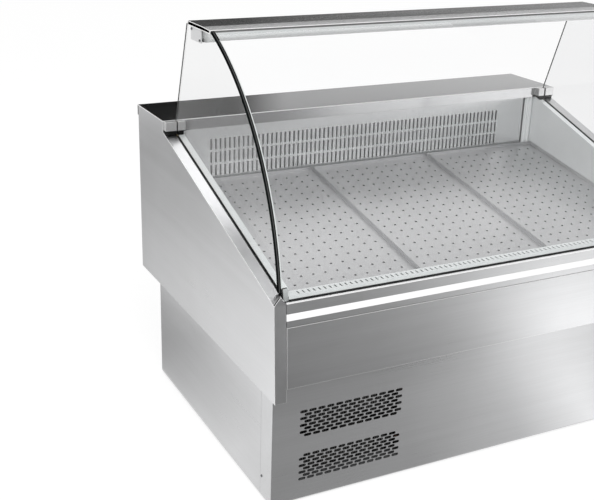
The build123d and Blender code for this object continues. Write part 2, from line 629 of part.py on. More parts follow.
MOTOR_FACE = BLADE_Y - 18
MOTOR_SPOTS = [Plane(origin=(x, MOTOR_FACE, AIR_FAN_Z), x_dir=(1, 0, 0), z_dir=(0, 1, 0))
               for x in (-AIR_FAN_X, AIR_FAN_X)]
with BuildPart() as evaporator_motors:
    with Locations(*MOTOR_SPOTS):
        Cylinder(34, 46, align=(Align.CENTER, Align.CENTER, Align.MAX))
        with PolarLocations(67, 3, start_angle=30):
            with Locations((0, 0, -10)):
                Box(78, 10, 5)
        with PolarLocations(102, 3, start_angle=30):
            with Locations((0, 0, -12.5)):
                Box(8, 10, GRILLE_Y - MOTOR_FACE + 12.5, align=UPRIGHT)
        Cylinder(4.05, 24, mode=Mode.SUBTRACT)
evaporator_motors.part.label = "evaporator_motors"
export_step(evaporator_motors.part, "parts/evaporator_motors.step")

# Display trays of the well, each lifting out on its own
TRAY_WIDTH = 454.0
TRAY_LENGTH = 722.0
DECK_SIN = math.sin(math.radians(DECK_RISE_DEG))
DECK_COS = math.cos(math.radians(DECK_RISE_DEG))
for tray_name, tray_x in (("left", -455.5), ("middle", 0.0), ("right", 455.5)):
    deck_origin = (tray_x, DECK_FRONT_Y, DECK_FRONT_Z)
    deck = Plane(origin=deck_origin, x_dir=(1, 0, 0), z_dir=(0, -DECK_SIN, DECK_COS))
    with BuildPart(deck) as display_tray:
        with Locations((0, TRAY_LENGTH / 2, 0)):
            Box(TRAY_WIDTH, TRAY_LENGTH, 34, align=UPRIGHT)
        with Locations((0, TRAY_LENGTH / 2, SHEET)):
            Box(TRAY_WIDTH - 2 * SHEET, TRAY_LENGTH - 2 * SHEET, 40, align=UPRIGHT, mode=Mode.SUBTRACT)
        with Locations((0, SHEET + TRAY_LENGTH / 2, 12)):
            Box(TRAY_WIDTH + 4, TRAY_LENGTH, 40, align=UPRIGHT, mode=Mode.SUBTRACT)
        with BuildSketch(deck):
            with Locations((0, TRAY_LENGTH / 2)):
                with GridLocations(38, 38, 11, 18):
                    Circle(3.5)
        extrude(amount=SHEET * 2, both=True, mode=Mode.SUBTRACT)
    display_tray.part.label = f"display_tray_{tray_name}"
    export_step(display_tray.part, f"parts/display_tray_{tray_name}.step")

with BuildPart() as tray_supports:
    with BuildSketch(Plane.YZ.offset(-TUB_X)):
        with Locations((-390, 613.4), (272, 725.4)):
            Rectangle(20, 20)
            Rectangle(17, 17, mode=Mode.SUBTRACT)
    extrude(amount=2 * TUB_X)
tray_supports.part.label = "tray_supports"
export_step(tray_supports.part, "parts/tray_supports.step")

GRILLE_TOP = 661.0
GRILLE_BACK = -425.5
with BuildPart() as return_grille:
    with BuildSketch(Plane.YZ):
        with BuildLine():
            Polyline((-467, 644), (-457, GRILLE_TOP), (GRILLE_BACK, GRILLE_TOP), (GRILLE_BACK, 646),
                     (GRILLE_BACK - SHEET, 646), (GRILLE_BACK - SHEET, GRILLE_TOP - SHEET),
                     (-456.2, GRILLE_TOP - SHEET), (-465.3, 644), close=True)
        make_face()
    extrude(amount=TUB_X - 1, both=True)
    with BuildSketch(Plane.XY.offset(GRILLE_TOP)):
        with Locations((0, (GRILLE_BACK - 457) / 2)):
            with GridLocations(16, 1, 82, 1):
                SlotOverall(18, 4.5, rotation=90)
    extrude(amount=-SHEET * 2, mode=Mode.SUBTRACT)
return_grille.part.label = "return_grille"
export_step(return_grille.part, "parts/return_grille.step")


# Bent front glass with its foot, tipping forward on two pins
def bend_band(r0, r1, low, high):
    """Outline of a band that follows the bend of the front glass."""
    CenterArc((BEND_Y, BEND_Z), r1, 180 - low, low - high)
    Line(bend_point(r1, high), bend_point(r0, high))
    CenterArc((BEND_Y, BEND_Z), r0, 180 - high, high - low)
    Line(bend_point(r0, low), bend_point(r1, low))


GLASS_X = 721.0
GLASS_NOTCH = 684.0
FOOT_X = 688.0
with BuildPart() as front_glass:
    with BuildSketch(Plane.YZ):
        with BuildLine():
            bend_band(GLASS_INNER_R, GLASS_OUTER_R, GLASS_FOOT_DEG, GLASS_TOP_DEG)
        make_face()
    extrude(amount=GLASS_X, both=True)
    for low_x, high_x in ((-GLASS_X - 5, 1 - INNER_X), (INNER_X - 1, GLASS_X + 5)):
        slab(low_x, high_x, -520, -440, BEND_Z, GLASS_NOTCH, Mode.SUBTRACT)
front_glass.part.label = "front_glass"
export_step(front_glass.part, "parts/front_glass.step")

with BuildPart() as glass_foot_profile:
    with BuildSketch(Plane.YZ):
        with BuildLine():
            bend_band(GLASS_INNER_R - 4, GLASS_OUTER_R + 4, 3.3, 5.2)
        make_face()
        with BuildLine():
            bend_band(GLASS_INNER_R, GLASS_OUTER_R, GLASS_FOOT_DEG, 6.0)
        make_face(mode=Mode.SUBTRACT)
    extrude(amount=FOOT_X, both=True)
    with BuildSketch(Plane.YZ):
        with Locations((HINGE_Y, HINGE_Z)):
            Circle(4)
    extrude(amount=FOOT_X + 18, both=True)
glass_foot_profile.part.label = "glass_foot_profile"
export_step(glass_foot_profile.part, "parts/glass_foot_profile.step")

with BuildPart() as glass_foot_seal:
    with BuildSketch(Plane.YZ):
        for r0, r1 in ((GLASS_INNER_R - 2.6, GLASS_INNER_R), (GLASS_OUTER_R, GLASS_OUTER_R + 2.6)):
            with BuildLine():
                bend_band(r0, r1, 5.2, 5.95)
            make_face()
    extrude(amount=FOOT_X, both=True)
glass_foot_seal.part.label = "glass_foot_seal"
export_step(glass_foot_seal.part, "parts/glass_foot_seal.step")

with BuildPart() as hinge_blocks:
    for x in (-702, 702):
        slab(x - 10, x + 10, HINGE_Y - 15, HINGE_Y + 15, GUTTER_Z, 636)
    with Locations(Location((0, HINGE_Y, HINGE_Z), (0, 90, 0))):
        Cylinder(4.05, 1500, mode=Mode.SUBTRACT)
hinge_blocks.part.label = "hinge_blocks"
export_step(hinge_blocks.part, "parts/hinge_blocks.step")

# End glasses with their seals, rear clamps, top bar and lamp
END_EDGE_R = GLASS_INNER_R - 5
END_FOOT_DEG = 6.5
END_TOP_DEG = math.degrees(math.asin((TOP_BAR_LOW - BEND_Z) / END_EDGE_R))
END_REAR_LOW = (288.0, strip_z(288.0) - 16)
END_REAR_BEND = (288.0, 940.0)
END_REAR_HIGH = (178.0, TOP_BAR_LOW)
BOLT_SPOTS = ((127.0, 1260.0), (65.0, 1236.0))
BOLT_HOLE = 3.3


def end_glass_outline():
    """Outline of an end glass, as depth and height."""
    CenterArc((BEND_Y, BEND_Z), END_EDGE_R, 180 - END_FOOT_DEG, END_FOOT_DEG - END_TOP_DEG)
    top_end = bend_point(END_EDGE_R, END_TOP_DEG)
    foot_end = bend_point(END_EDGE_R, END_FOOT_DEG)
    Polyline(top_end, END_REAR_HIGH, END_REAR_BEND, END_REAR_LOW, foot_end)


for side, sign in (("left", -1), ("right", 1)):
    with BuildPart() as end_glass:
        with BuildSketch(Plane.YZ.offset(sign * END_GLASS_X)):
            with BuildLine():
                end_glass_outline()
            make_face()
            with Locations(*BOLT_SPOTS):
                Circle(BOLT_HOLE, mode=Mode.SUBTRACT)
        extrude(amount=sign * GLASS)
    end_glass.part.label = f"end_glass_{side}"
    export_step(end_glass.part, f"parts/end_glass_{side}.step")

with BuildPart() as end_glass_seals:
    for sign in (-1, 1):
        with BuildSketch(Plane.YZ.offset(sign * (END_GLASS_X - 1))):
            with BuildLine():
                Polyline((-470, strip_z(-470) - 20), (268, strip_z(268) - 20), (268, strip_z(268) + 0.6),
                         (-466, strip_z(-466) + 0.6), close=True)
            make_face()
        extrude(amount=sign * (GLASS + 3.5))
        with BuildSketch(Plane.YZ.offset(sign * END_GLASS_X)):
            with BuildLine():
                bend_band(END_EDGE_R, GLASS_INNER_R - 0.6, END_FOOT_DEG, 65.8)
            make_face()
        extrude(amount=sign * GLASS)
        with BuildSketch(Plane.YZ.offset(sign * END_GLASS_X)):
            with BuildLine():
                end_glass_outline()
            make_face()
        extrude(amount=sign * GLASS, mode=Mode.SUBTRACT)
        with BuildSketch(Plane.XZ.offset(-POST_TOP_Y - POINT_SHEET)):
            with BuildLine():
                Polyline((sign * (END_X - 1), POST_TOP_Z + 2.1), (sign * (INNER_X + 1), POST_TOP_Z + 2.1),
                         (sign * POINT_X, POST_TOP_Z + POINT_HEIGHT + 1.7), close=True)
            make_face()
        extrude(amount=-POINT_SHEET)
end_glass_seals.part.label = "end_glass_seals"
export_step(end_glass_seals.part, "parts/end_glass_seals.step")

CLAMP_FRONT = 270.0
CLAMP_PARTING = 924.0
with BuildPart() as glass_clamps:
    for sign in (-1, 1):
        cap_in, cap_out = sorted((sign * 680, sign * 749))
        slab(cap_in, cap_out, CLAMP_FRONT, WORKTOP_FRONT, CLAMP_PARTING, WORKTOP_Z)
        with BuildSketch(Plane.YZ.offset(sign * 686)):
            with BuildLine():
                Polyline((CLAMP_FRONT, strip_z(CLAMP_FRONT) + 0.2), (290, strip_z(290) + 0.2), (290, CLAMP_PARTING),
                         (CLAMP_FRONT, CLAMP_PARTING), close=True)
            make_face()
        extrude(amount=sign * 58)
        with BuildSketch(Plane.YZ.offset(sign * END_GLASS_X)):
            with BuildLine():
                end_glass_outline()
            make_face()
        extrude(amount=sign * GLASS, mode=Mode.SUBTRACT)
glass_clamps.part.label = "glass_clamps"
export_step(glass_clamps.part, "parts/glass_clamps.step")

BAR_X = 721.0
BAR_FRONT = -20.0
BAR_REAR = 148.0
BAR_BEND = 32.0
BAR_DROP = 2.8
with BuildPart() as top_bar:
    with BuildSketch(Plane.YZ) as bar_profile:
        with BuildLine():
            Polyline((BAR_FRONT, TOP_BAR_LOW), (BAR_REAR, TOP_BAR_LOW), (BAR_REAR, TOP_BAR_HIGH),
                     (BAR_BEND, TOP_BAR_HIGH), (BAR_FRONT, TOP_BAR_HIGH - BAR_DROP), close=True)
        make_face()
        fillet(bar_profile.vertices().group_by(Axis.X)[0].sort_by(Axis.Y)[-1], radius=4)
        fillet(bar_profile.vertices().group_by(Axis.X)[-1].sort_by(Axis.Y)[-1], radius=3)
        with BuildLine():
            Polyline((BAR_FRONT + 5, TOP_BAR_LOW + 2), (BAR_REAR - 4, TOP_BAR_LOW + 2),
                     (BAR_REAR - 4, TOP_BAR_HIGH - 2), (BAR_BEND, TOP_BAR_HIGH - 2),
                     (BAR_FRONT + 5, TOP_BAR_HIGH - BAR_DROP - 1.6), close=True)
        make_face(mode=Mode.SUBTRACT)
    extrude(amount=BAR_X, both=True)
top_bar.part.label = "top_bar"
export_step(top_bar.part, "parts/top_bar.step")

BRACKET_IN = END_GLASS_X + GLASS + 0.5
BRACKET = 3.0
with BuildPart() as lamp_brackets:
    for sign in (-1, 1):
        with BuildSketch(Plane.YZ.offset(sign * BRACKET_IN)) as bracket_face:
            with BuildLine():
                Polyline((57, 1229), (135, 1229), (135, TOP_BAR_LOW), (57, TOP_BAR_LOW), close=True)
            make_face()
            fillet(bracket_face.vertices().group_by(Axis.Y)[0], radius=3)
            with Locations(*BOLT_SPOTS):
                Circle(BOLT_HOLE, mode=Mode.SUBTRACT)
        extrude(amount=sign * BRACKET)
lamp_brackets.part.label = "lamp_brackets"
export_step(lamp_brackets.part, "parts/lamp_brackets.step")

with BuildPart() as bracket_bolts:
    for sign in (-1, 1):
        for bolt_y, bolt_z in BOLT_SPOTS:
            with Locations(Location((sign * (BRACKET_IN + BRACKET), bolt_y, bolt_z), (0, sign * 90, 0))):
                Cone(4.2, 3, 3, align=UPRIGHT)
                Cylinder(3, 15, align=(Align.CENTER, Align.CENTER, Align.MAX))
                with Locations((0, 0, -12)):
                    Cylinder(5.5, 3, align=(Align.CENTER, Align.CENTER, Align.MAX))
bracket_bolts.part.label = "bracket_bolts"
export_step(bracket_bolts.part, "parts/bracket_bolts.step")

LAMP_X = END_GLASS_X - 4.5
LAMP_LOW = 1231.0
LAMP_SPLIT = 70.0
COVER_FRONT = 4.0
COVER_HIGH = TOP_BAR_LOW - 1
with BuildPart() as lamp_housing:
    slab(-LAMP_X, LAMP_X, LAMP_SPLIT, 92, LAMP_LOW, TOP_BAR_LOW)
    slab(-LAMP_X + 2, LAMP_X - 2, LAMP_SPLIT - 2, 90, LAMP_LOW + 4, TOP_BAR_LOW - 4, Mode.SUBTRACT)
lamp_housing.part.label = "lamp_housing"
export_step(lamp_housing.part, "parts/lamp_housing.step")

with BuildPart() as lamp_diffuser:
    for inset, mode in ((0.0, Mode.ADD), (2.5, Mode.SUBTRACT)):
        with BuildSketch(Plane.YZ):
            with BuildLine():
                EllipticalCenterArc((66, COVER_HIGH - inset), 66 - COVER_FRONT - inset,
                                    COVER_HIGH - LAMP_LOW - 2 * inset, start_angle=180, arc_size=90)
                Polyline((66, LAMP_LOW + inset), (LAMP_SPLIT, LAMP_LOW + inset), (LAMP_SPLIT, COVER_HIGH - inset),
                         (COVER_FRONT + inset, COVER_HIGH - inset))
            make_face()
        extrude(amount=LAMP_X - inset, both=True, mode=mode)
lamp_diffuser.part.label = "lamp_diffuser"
export_step(lamp_diffuser.part, "parts/lamp_diffuser.step")

with BuildPart() as lamp_board:
    slab(-LAMP_X + 6, LAMP_X - 6, 86, 90, 1242, 1262)
lamp_board.part.label = "lamp_board"
export_step(lamp_board.part, "parts/lamp_board.step")

# Controls on the operator's side
PANEL_Y = REAR_Y + SHEET
PLATE = 2.0
KNOB_X = CONTROL_X - 68
WINDOW_X = CONTROL_X
SWITCHES = (("main_switch", CONTROL_X + 54), ("light_switch", CONTROL_X + 82))
ROCKER_Y = PANEL_Y - 3.5
ROCKER_R = 13.0
ROCKER_W = 13.0
ROCKER_TILT = 8.0
CONTROL_SCREWS = ((CONTROL_X - 105, CONTROL_Z), (CONTROL_X + 105, CONTROL_Z))

with BuildPart() as control_panel:
    slab(CONTROL_X - 110, CONTROL_X + 110, PANEL_Y, PANEL_Y + PLATE, CONTROL_Z - 45, CONTROL_Z + 45)
    fillet(control_panel.edges().filter_by(Axis.Y), radius=4)
    slab(CONTROL_X - BOX_W / 2, CONTROL_X + BOX_W / 2, PANEL_Y - 36, PANEL_Y,
         CONTROL_Z - BOX_H / 2, CONTROL_Z + BOX_H / 2)
    slab(CONTROL_X - BOX_W / 2 + SHEET, CONTROL_X + BOX_W / 2 - SHEET, PANEL_Y - 36, PANEL_Y,
         CONTROL_Z - BOX_H / 2 + SHEET, CONTROL_Z + BOX_H / 2 - SHEET, Mode.SUBTRACT)
    for switch_name, switch_x in SWITCHES:
        for x in (switch_x - 8.6, switch_x + 8.6):
            slab(x - 1.2, x + 1.2, PANEL_Y - 8, PANEL_Y, CONTROL_Z - 5, CONTROL_Z + 5)
    with BuildSketch(Plane.XZ.offset(-PANEL_Y - PLATE)):
        with Locations((KNOB_X, CONTROL_Z)):
            Circle(3.05)
        with Locations((WINDOW_X, CONTROL_Z)):
            Rectangle(62, 28)
        with Locations(*[(switch_x, CONTROL_Z) for switch_name, switch_x in SWITCHES]):
            Rectangle(14, 26.6)
        with Locations(*CONTROL_SCREWS):
            Circle(2.6)
    extrude(amount=PLATE, mode=Mode.SUBTRACT)
    with Locations(Location((CONTROL_X + 68, ROCKER_Y, CONTROL_Z), (0, 90, 0))):
        Cylinder(1.55, 60, mode=Mode.SUBTRACT)
control_panel.part.label = "control_panel"
export_step(control_panel.part, "parts/control_panel.step")

with BuildPart() as thermometer_window:
    window_face = PANEL_Y + PLATE + 0.8
    slab(WINDOW_X - 30.8, WINDOW_X + 30.8, PANEL_Y, window_face, CONTROL_Z - 13.8, CONTROL_Z + 13.8)
    fillet(thermometer_window.faces().sort_by(Axis.Y)[-1].edges(), radius=0.6)
    slab(WINDOW_X - 33, WINDOW_X + 33, PANEL_Y - 6, PANEL_Y, CONTROL_Z - 16, CONTROL_Z + 16)
thermometer_window.part.label = "thermometer_window"
export_step(thermometer_window.part, "parts/thermometer_window.step")

knob_plane = Plane(origin=(KNOB_X, PANEL_Y + PLATE + 0.5, CONTROL_Z), x_dir=(1, 0, 0), z_dir=(0, 1, 0))
with BuildPart(knob_plane) as thermostat_knob:
    Cylinder(18, 3, align=UPRIGHT)
    Cylinder(15, 12, align=UPRIGHT)
    fillet(thermostat_knob.edges().sort_by(Axis.Y)[-1], radius=2)
    with Locations((0, 0, 11)):
        Box(5, 29, 4, align=UPRIGHT)
    Cylinder(3, 14, align=(Align.CENTER, Align.CENTER, Align.MAX))
thermostat_knob.part.label = "thermostat_knob"
export_step(thermostat_knob.part, "parts/thermostat_knob.step")

TILT_SIN = math.sin(math.radians(ROCKER_TILT))
TILT_COS = math.cos(math.radians(ROCKER_TILT))
for switch_name, switch_x in SWITCHES:
    rocker_pivot = (switch_x, ROCKER_Y, CONTROL_Z)
    rocker_plane = Plane(origin=rocker_pivot, x_dir=(0, TILT_COS, -TILT_SIN), z_dir=(1, 0, 0))
    with BuildPart() as rocker:
        with BuildSketch(rocker_plane):
            with BuildLine():
                Polyline((-5, -14), (8.2, -14), (6.2, 0), (8.2, 14), (-5, 14), close=True)
            make_face()
            Circle(ROCKER_R, mode=Mode.INTERSECT)
        extrude(amount=ROCKER_W / 2, both=True)
        with BuildSketch(rocker_plane):
            Circle(1.5)
        extrude(amount=ROCKER_W / 2 + 3, both=True)
    rocker.part.label = switch_name
    export_step(rocker.part, f"parts/{switch_name}.step")

# Dome screws of the outer panels
SCREW_SPOTS = []
for z in (68.0, 370.0):
    SCREW_SPOTS.append(Location((-PLINTH_X, PLINTH_FRONT + PLINTH_RETURN - 9, z), (0, -90, 0)))
    SCREW_SPOTS.append(Location((PLINTH_X, PLINTH_FRONT + PLINTH_RETURN - 9, z), (0, 90, 0)))
for x, z in REAR_SCREWS:
    SCREW_SPOTS.append(Location((x, PLINTH_REAR, z), (-90, 0, 0)))
for x, z in CONTROL_SCREWS:
    SCREW_SPOTS.append(Location((x, PANEL_Y + PLATE, z), (-90, 0, 0)))
with BuildPart() as panel_screws:
    with Locations(*SCREW_SPOTS):
        Cone(4.6, 2.6, 2.4, align=UPRIGHT)
        Cylinder(2.5, 1.4, align=(Align.CENTER, Align.CENTER, Align.MAX))
panel_screws.part.label = "panel_screws"
export_step(panel_screws.part, "parts/panel_screws.step")
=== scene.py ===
"""Looks of a refrigerated fish counter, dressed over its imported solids.

The counter is a stainless serve-over case with a bent front glass, flat end panes, a sloped display well,
a lamp bar and a worktop on the operator's side. Sizes are in metres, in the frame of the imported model:
X runs along the counter, Y towards the operator and Z up.
"""

import json
import logging
import math
from dataclasses import dataclass, field
from enum import Enum
from typing import Any, Iterable, Sequence, Union

import bmesh
import bpy
from mathutils import Matrix, Vector

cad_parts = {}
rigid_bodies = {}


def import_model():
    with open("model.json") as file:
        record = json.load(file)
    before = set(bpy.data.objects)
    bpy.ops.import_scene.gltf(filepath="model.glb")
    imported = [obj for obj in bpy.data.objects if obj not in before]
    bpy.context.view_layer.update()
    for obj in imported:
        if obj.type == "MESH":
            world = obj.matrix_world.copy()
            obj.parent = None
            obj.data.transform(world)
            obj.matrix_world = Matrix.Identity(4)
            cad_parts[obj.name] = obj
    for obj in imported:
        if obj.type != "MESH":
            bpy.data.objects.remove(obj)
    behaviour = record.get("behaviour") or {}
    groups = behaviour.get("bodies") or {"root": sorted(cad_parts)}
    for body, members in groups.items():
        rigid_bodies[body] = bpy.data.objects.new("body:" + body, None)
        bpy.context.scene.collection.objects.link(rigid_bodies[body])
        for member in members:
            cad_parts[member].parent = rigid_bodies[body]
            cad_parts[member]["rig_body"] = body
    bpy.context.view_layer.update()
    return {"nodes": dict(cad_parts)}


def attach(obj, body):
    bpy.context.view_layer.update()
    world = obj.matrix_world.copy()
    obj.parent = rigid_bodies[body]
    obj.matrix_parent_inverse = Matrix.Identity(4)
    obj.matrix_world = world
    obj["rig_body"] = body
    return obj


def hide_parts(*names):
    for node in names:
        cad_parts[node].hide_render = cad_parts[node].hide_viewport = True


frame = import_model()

LOG = logging.getLogger("fish_counter")

Pair = tuple[float, float]
Triple = tuple[float, float, float]
Colour = tuple[float, float, float, float]
Shades = tuple[Colour, Colour]
Operand = Union["Value", float]
Key = Union[int, str]

PICTURE_WIDTH = 594
NOISE_MIDDLE = 0.5
NOISE_ROUGHNESS = 0.55
BLUE_IN_GREEN = 0.3
WELD_GAP = 1e-5
FLAT_ANGLE = math.radians(0.4)
FOLD_ANGLE = math.radians(20.0)
SMOOTH_ANGLE = math.radians(35.0)
BEND_ANGLE = math.radians(2.0)
BEND_WIDTH = 0.025
CUT_EDGE_WIDTH = 0.004
FOLD_STEPS = 3
FOLD_ROUNDNESS = 0.5
FOLD_MARK = "fold"
HEAD_DIRECTION = "direction"


def grey(level: float, blue: float = 0.0) -> Colour:
    """Return a grey as a colour, with a little more or less blue in it."""
    return (level, level + BLUE_IN_GREEN * blue, level + blue, 1.0)


class Axis(Enum):
    """A direction of the counter, which the brush lines of a sheet can follow."""

    ALONG = 0
    DEEP = 1
    UP = 2

    def stretch(self, along: float, across: float) -> Triple:
        """Return noise scales that are low along the brush lines and high across them."""
        return tuple(along if index == self.value else across for index in range(3))


class Value:
    """A node's output that takes part in arithmetic, where each operation adds a Math node."""

    def __init__(self, graph: "Graph", socket: bpy.types.NodeSocket) -> None:
        """Wrap one output socket of a graph."""
        self.graph = graph
        self.socket = socket

    def combine(self, operation: str, first: Operand, second: Operand = 0.0) -> "Value":
        """Add a Math node with that operation on two inputs and return its result."""
        return self.graph.read("ShaderNodeMath", {"operation": operation}, {0: first, 1: second})

    def __add__(self, other: Operand) -> "Value":
        """Return self + other."""
        return self.combine("ADD", self, other)

    def __radd__(self, other: Operand) -> "Value":
        """Return other + self."""
        return self.combine("ADD", other, self)

    def __sub__(self, other: Operand) -> "Value":
        """Return self - other."""
        return self.combine("SUBTRACT", self, other)

    def __rsub__(self, other: Operand) -> "Value":
        """Return other - self."""
        return self.combine("SUBTRACT", other, self)

    def __mul__(self, other: Operand) -> "Value":
        """Return self * other."""
        return self.combine("MULTIPLY", self, other)

    def __rmul__(self, other: Operand) -> "Value":
        """Return other * self."""
        return self.combine("MULTIPLY", other, self)

    def __truediv__(self, other: Operand) -> "Value":
        """Return self / other."""
        return self.combine("DIVIDE", self, other)

    def __rtruediv__(self, other: Operand) -> "Value":
        """Return other / self."""
        return self.combine("DIVIDE", other, self)

    def __abs__(self) -> "Value":
        """Return the size of the value without its sign."""
        return self.combine("ABSOLUTE", self)

    def __gt__(self, other: Operand) -> "Value":
        """Return 1 where self is larger than other, and 0 elsewhere."""
        return self.combine("GREATER_THAN", self, other)

    def __lt__(self, other: Operand) -> "Value":
        """Return 1 where self is smaller than other, and 0 elsewhere."""
        return self.combine("LESS_THAN", self, other)

    def larger(self, other: Operand) -> "Value":
        """Return the larger of the two values."""
        return self.combine("MAXIMUM", self, other)

    def whole(self) -> "Value":
        """Return the value rounded down."""
        return self.combine("FLOOR", self)

    def part(self) -> "Value":
        """Return what is left of the value above its whole number."""
        return self.combine("FRACT", self)

    def cosine(self) -> "Value":
        """Return the cosine of the value in radians."""
        return self.combine("COSINE", self)

    def sine(self) -> "Value":
        """Return the sine of the value in radians."""
        return self.combine("SINE", self)


class Graph:
    """A node tree and the one method that adds nodes to it."""

    def __init__(self, tree: bpy.types.NodeTree) -> None:
        """Start from an empty tree."""
        self.tree = tree
        self.tree.nodes.clear()

    @staticmethod
    def socket(sockets: Any, key: Key) -> bpy.types.NodeSocket:
        """Find a socket.

        Args:
            sockets: Inputs or outputs of a node.
            key: Its place, its identifier or its name.

        Returns:
            The socket.
        """
        if isinstance(key, int):
            return sockets[key]
        return next((s for s in sockets if s.identifier == key), None) or sockets[key]

    def node(self, kind: str, settings: dict | None = None, inputs: dict | None = None) -> bpy.types.Node:
        """Add a node, set it up, then fill its inputs.

        Args:
            kind: Blender's type of the node.
            settings: Values of its own properties, with a ramp's stops under "stops".
            inputs: Numbers, colours or links of its sockets.

        Returns:
            The node.
        """
        made = self.tree.nodes.new(kind)
        for key, setting in (settings or {}).items():
            if key == "stops":
                self.set_stops(made.color_ramp, setting)
            else:
                setattr(made, key, setting)
        for key, given in (inputs or {}).items():
            target = self.socket(made.inputs, key)
            for item in given if isinstance(given, list) else [given]:
                if isinstance(item, Value):
                    self.tree.links.new(item.socket, target)
                else:
                    target.default_value = item
        return made

    def read(self, kind: str, settings: dict | None = None, inputs: dict | None = None,
             output: Key = 0) -> Value:
        """Add a node and return one of its outputs, found by its place, identifier or name."""
        made = self.node(kind, settings, inputs)
        return Value(self, self.socket(made.outputs, output))

    @staticmethod
    def set_stops(ramp: bpy.types.ColorRamp, stops: Sequence[tuple[float, Colour]]) -> None:
        """Give a colour ramp its stops.

        Args:
            ramp: The ramp of a node.
            stops: Place from 0 to 1 and colour of each stop, in order.
        """
        while len(ramp.elements) < len(stops):
            ramp.elements.new(1.0)
        for element, (place, colour) in zip(ramp.elements, stops):
            element.position = place
            element.color = colour

    def vector(self, x: Operand, y: Operand, z: Operand) -> Value:
        """Return a vector of three values."""
        return self.read("ShaderNodeCombineXYZ", None, {0: x, 1: y, 2: z})

    def ray(self, *names: str) -> list[Value]:
        """Return some of what is known of the ray that arrives, by the names of the outputs."""
        path = self.node("ShaderNodeLightPath")
        return [Value(self, path.outputs[name]) for name in names]

    def seen_background(self) -> Value:
        """Return 1 for rays from the camera, a polished surface or glass, and 0 for the rest."""
        camera, glossy, through = self.ray("Is Camera Ray", "Is Glossy Ray", "Is Transmission Ray")
        return camera.larger(glossy).larger(through)


class MaterialGraph(Graph):
    """The nodes of one finish."""

    def __init__(self, name: str) -> None:
        """Start a new material.

        Args:
            name: Name of the material.
        """
        self.material = bpy.data.materials.new(name)
        self.material.use_nodes = True
        super().__init__(self.material.node_tree)
        self.place = self.read("ShaderNodeTexCoord", None, None, "Object")

    def axis(self, axis: Axis) -> Value:
        """Return one coordinate of the surface point."""
        return self.read("ShaderNodeSeparateXYZ", None, {0: self.place}, axis.value)

    def noise(self, cells: Union[float, Triple], detail: float, twist: float = 0.0) -> Value:
        """Add noise around one half.

        Args:
            cells: Cells per metre, the same all round or one number for each of X, Y and Z.
            detail: Octaves of finer noise.
            twist: How far the cells are drawn out of shape.

        Returns:
            The noise.
        """
        scale = cells if isinstance(cells, tuple) else (cells,) * 3
        stretched = self.read("ShaderNodeVectorMath", {"operation": "MULTIPLY"}, {0: self.place, 1: scale})
        return self.read("ShaderNodeTexNoise", None, {
            "Vector": stretched, "Scale": 1.0, "Detail": detail, "Roughness": NOISE_ROUGHNESS,
            "Distortion": twist,
        })

    @staticmethod
    def vary(base: Operand, noise: Value, swing: float) -> Value:
        """Return a base that noise moves up and down over a swing."""
        return base + swing * (noise - NOISE_MIDDLE)

    @staticmethod
    def weighed(shares: Sequence[float], values: Sequence[Value]) -> Value:
        """Return the sum of values, each times its share."""
        first, *others = (share * value for share, value in zip(shares, values))
        return sum(others, first)

    def spread(self, value: Value, low: float, high: float) -> Value:
        """Return the value stretched so that low becomes 0 and high becomes 1, and kept between them."""
        inputs = {"Value": value, "From Min": low, "From Max": high}
        return self.read("ShaderNodeMapRange", {"clamp": True}, inputs)

    def tint(self, factor: Value, first: Union[Value, Colour], second: Union[Value, Colour]) -> Value:
        """Return the first colour where the factor is 0 and the second where it is 1."""
        inputs = {"Factor_Float": factor, "A_Color": first, "B_Color": second}
        return self.read("ShaderNodeMix", {"data_type": "RGBA"}, inputs, "Result_Color")

    def bump(self, height: Value, strength: float, depth: float) -> Value:
        """Return the surface normal of a height, where depth is what a height of 1 is in metres."""
        return self.read("ShaderNodeBump", None, {"Strength": strength, "Distance": depth, "Height": height})

    def principled(self, inputs: dict) -> Value:
        """Return a principled shader with those inputs."""
        return self.read("ShaderNodeBsdfPrincipled", None, inputs)

    def clear(self, colour: Colour) -> Value:
        """Return a shader that lets light pass straight through in a colour."""
        return self.read("ShaderNodeBsdfTransparent", None, {"Color": colour})

    def blended(self, factor: Value, first: Value, second: Value) -> Value:
        """Return the first shader where the factor is 0 and the second where it is 1."""
        return self.read("ShaderNodeMixShader", None, {0: factor, 1: first, 2: second})

    def close(self, shader: Value) -> bpy.types.Material:
        """Link a shader to the output and return the material."""
        self.node("ShaderNodeOutputMaterial", None, {"Surface": shader})
        return self.material

    def surface(self, inputs: dict) -> bpy.types.Material:
        """Close the graph with a principled shader of those inputs and return the material."""
        return self.close(self.principled(inputs))


@dataclass(frozen=True)
class Finish:
    """A surface finish that is made once and shared by the pieces that have it."""

    name: str

    def material(self) -> bpy.types.Material:
        """Return the finish's material, made at its first use."""
        return bpy.data.materials.get(self.name) or self.make()

    def make(self) -> bpy.types.Material:
        """Build the material and return it; each finish has its own way."""
        raise NotImplementedError


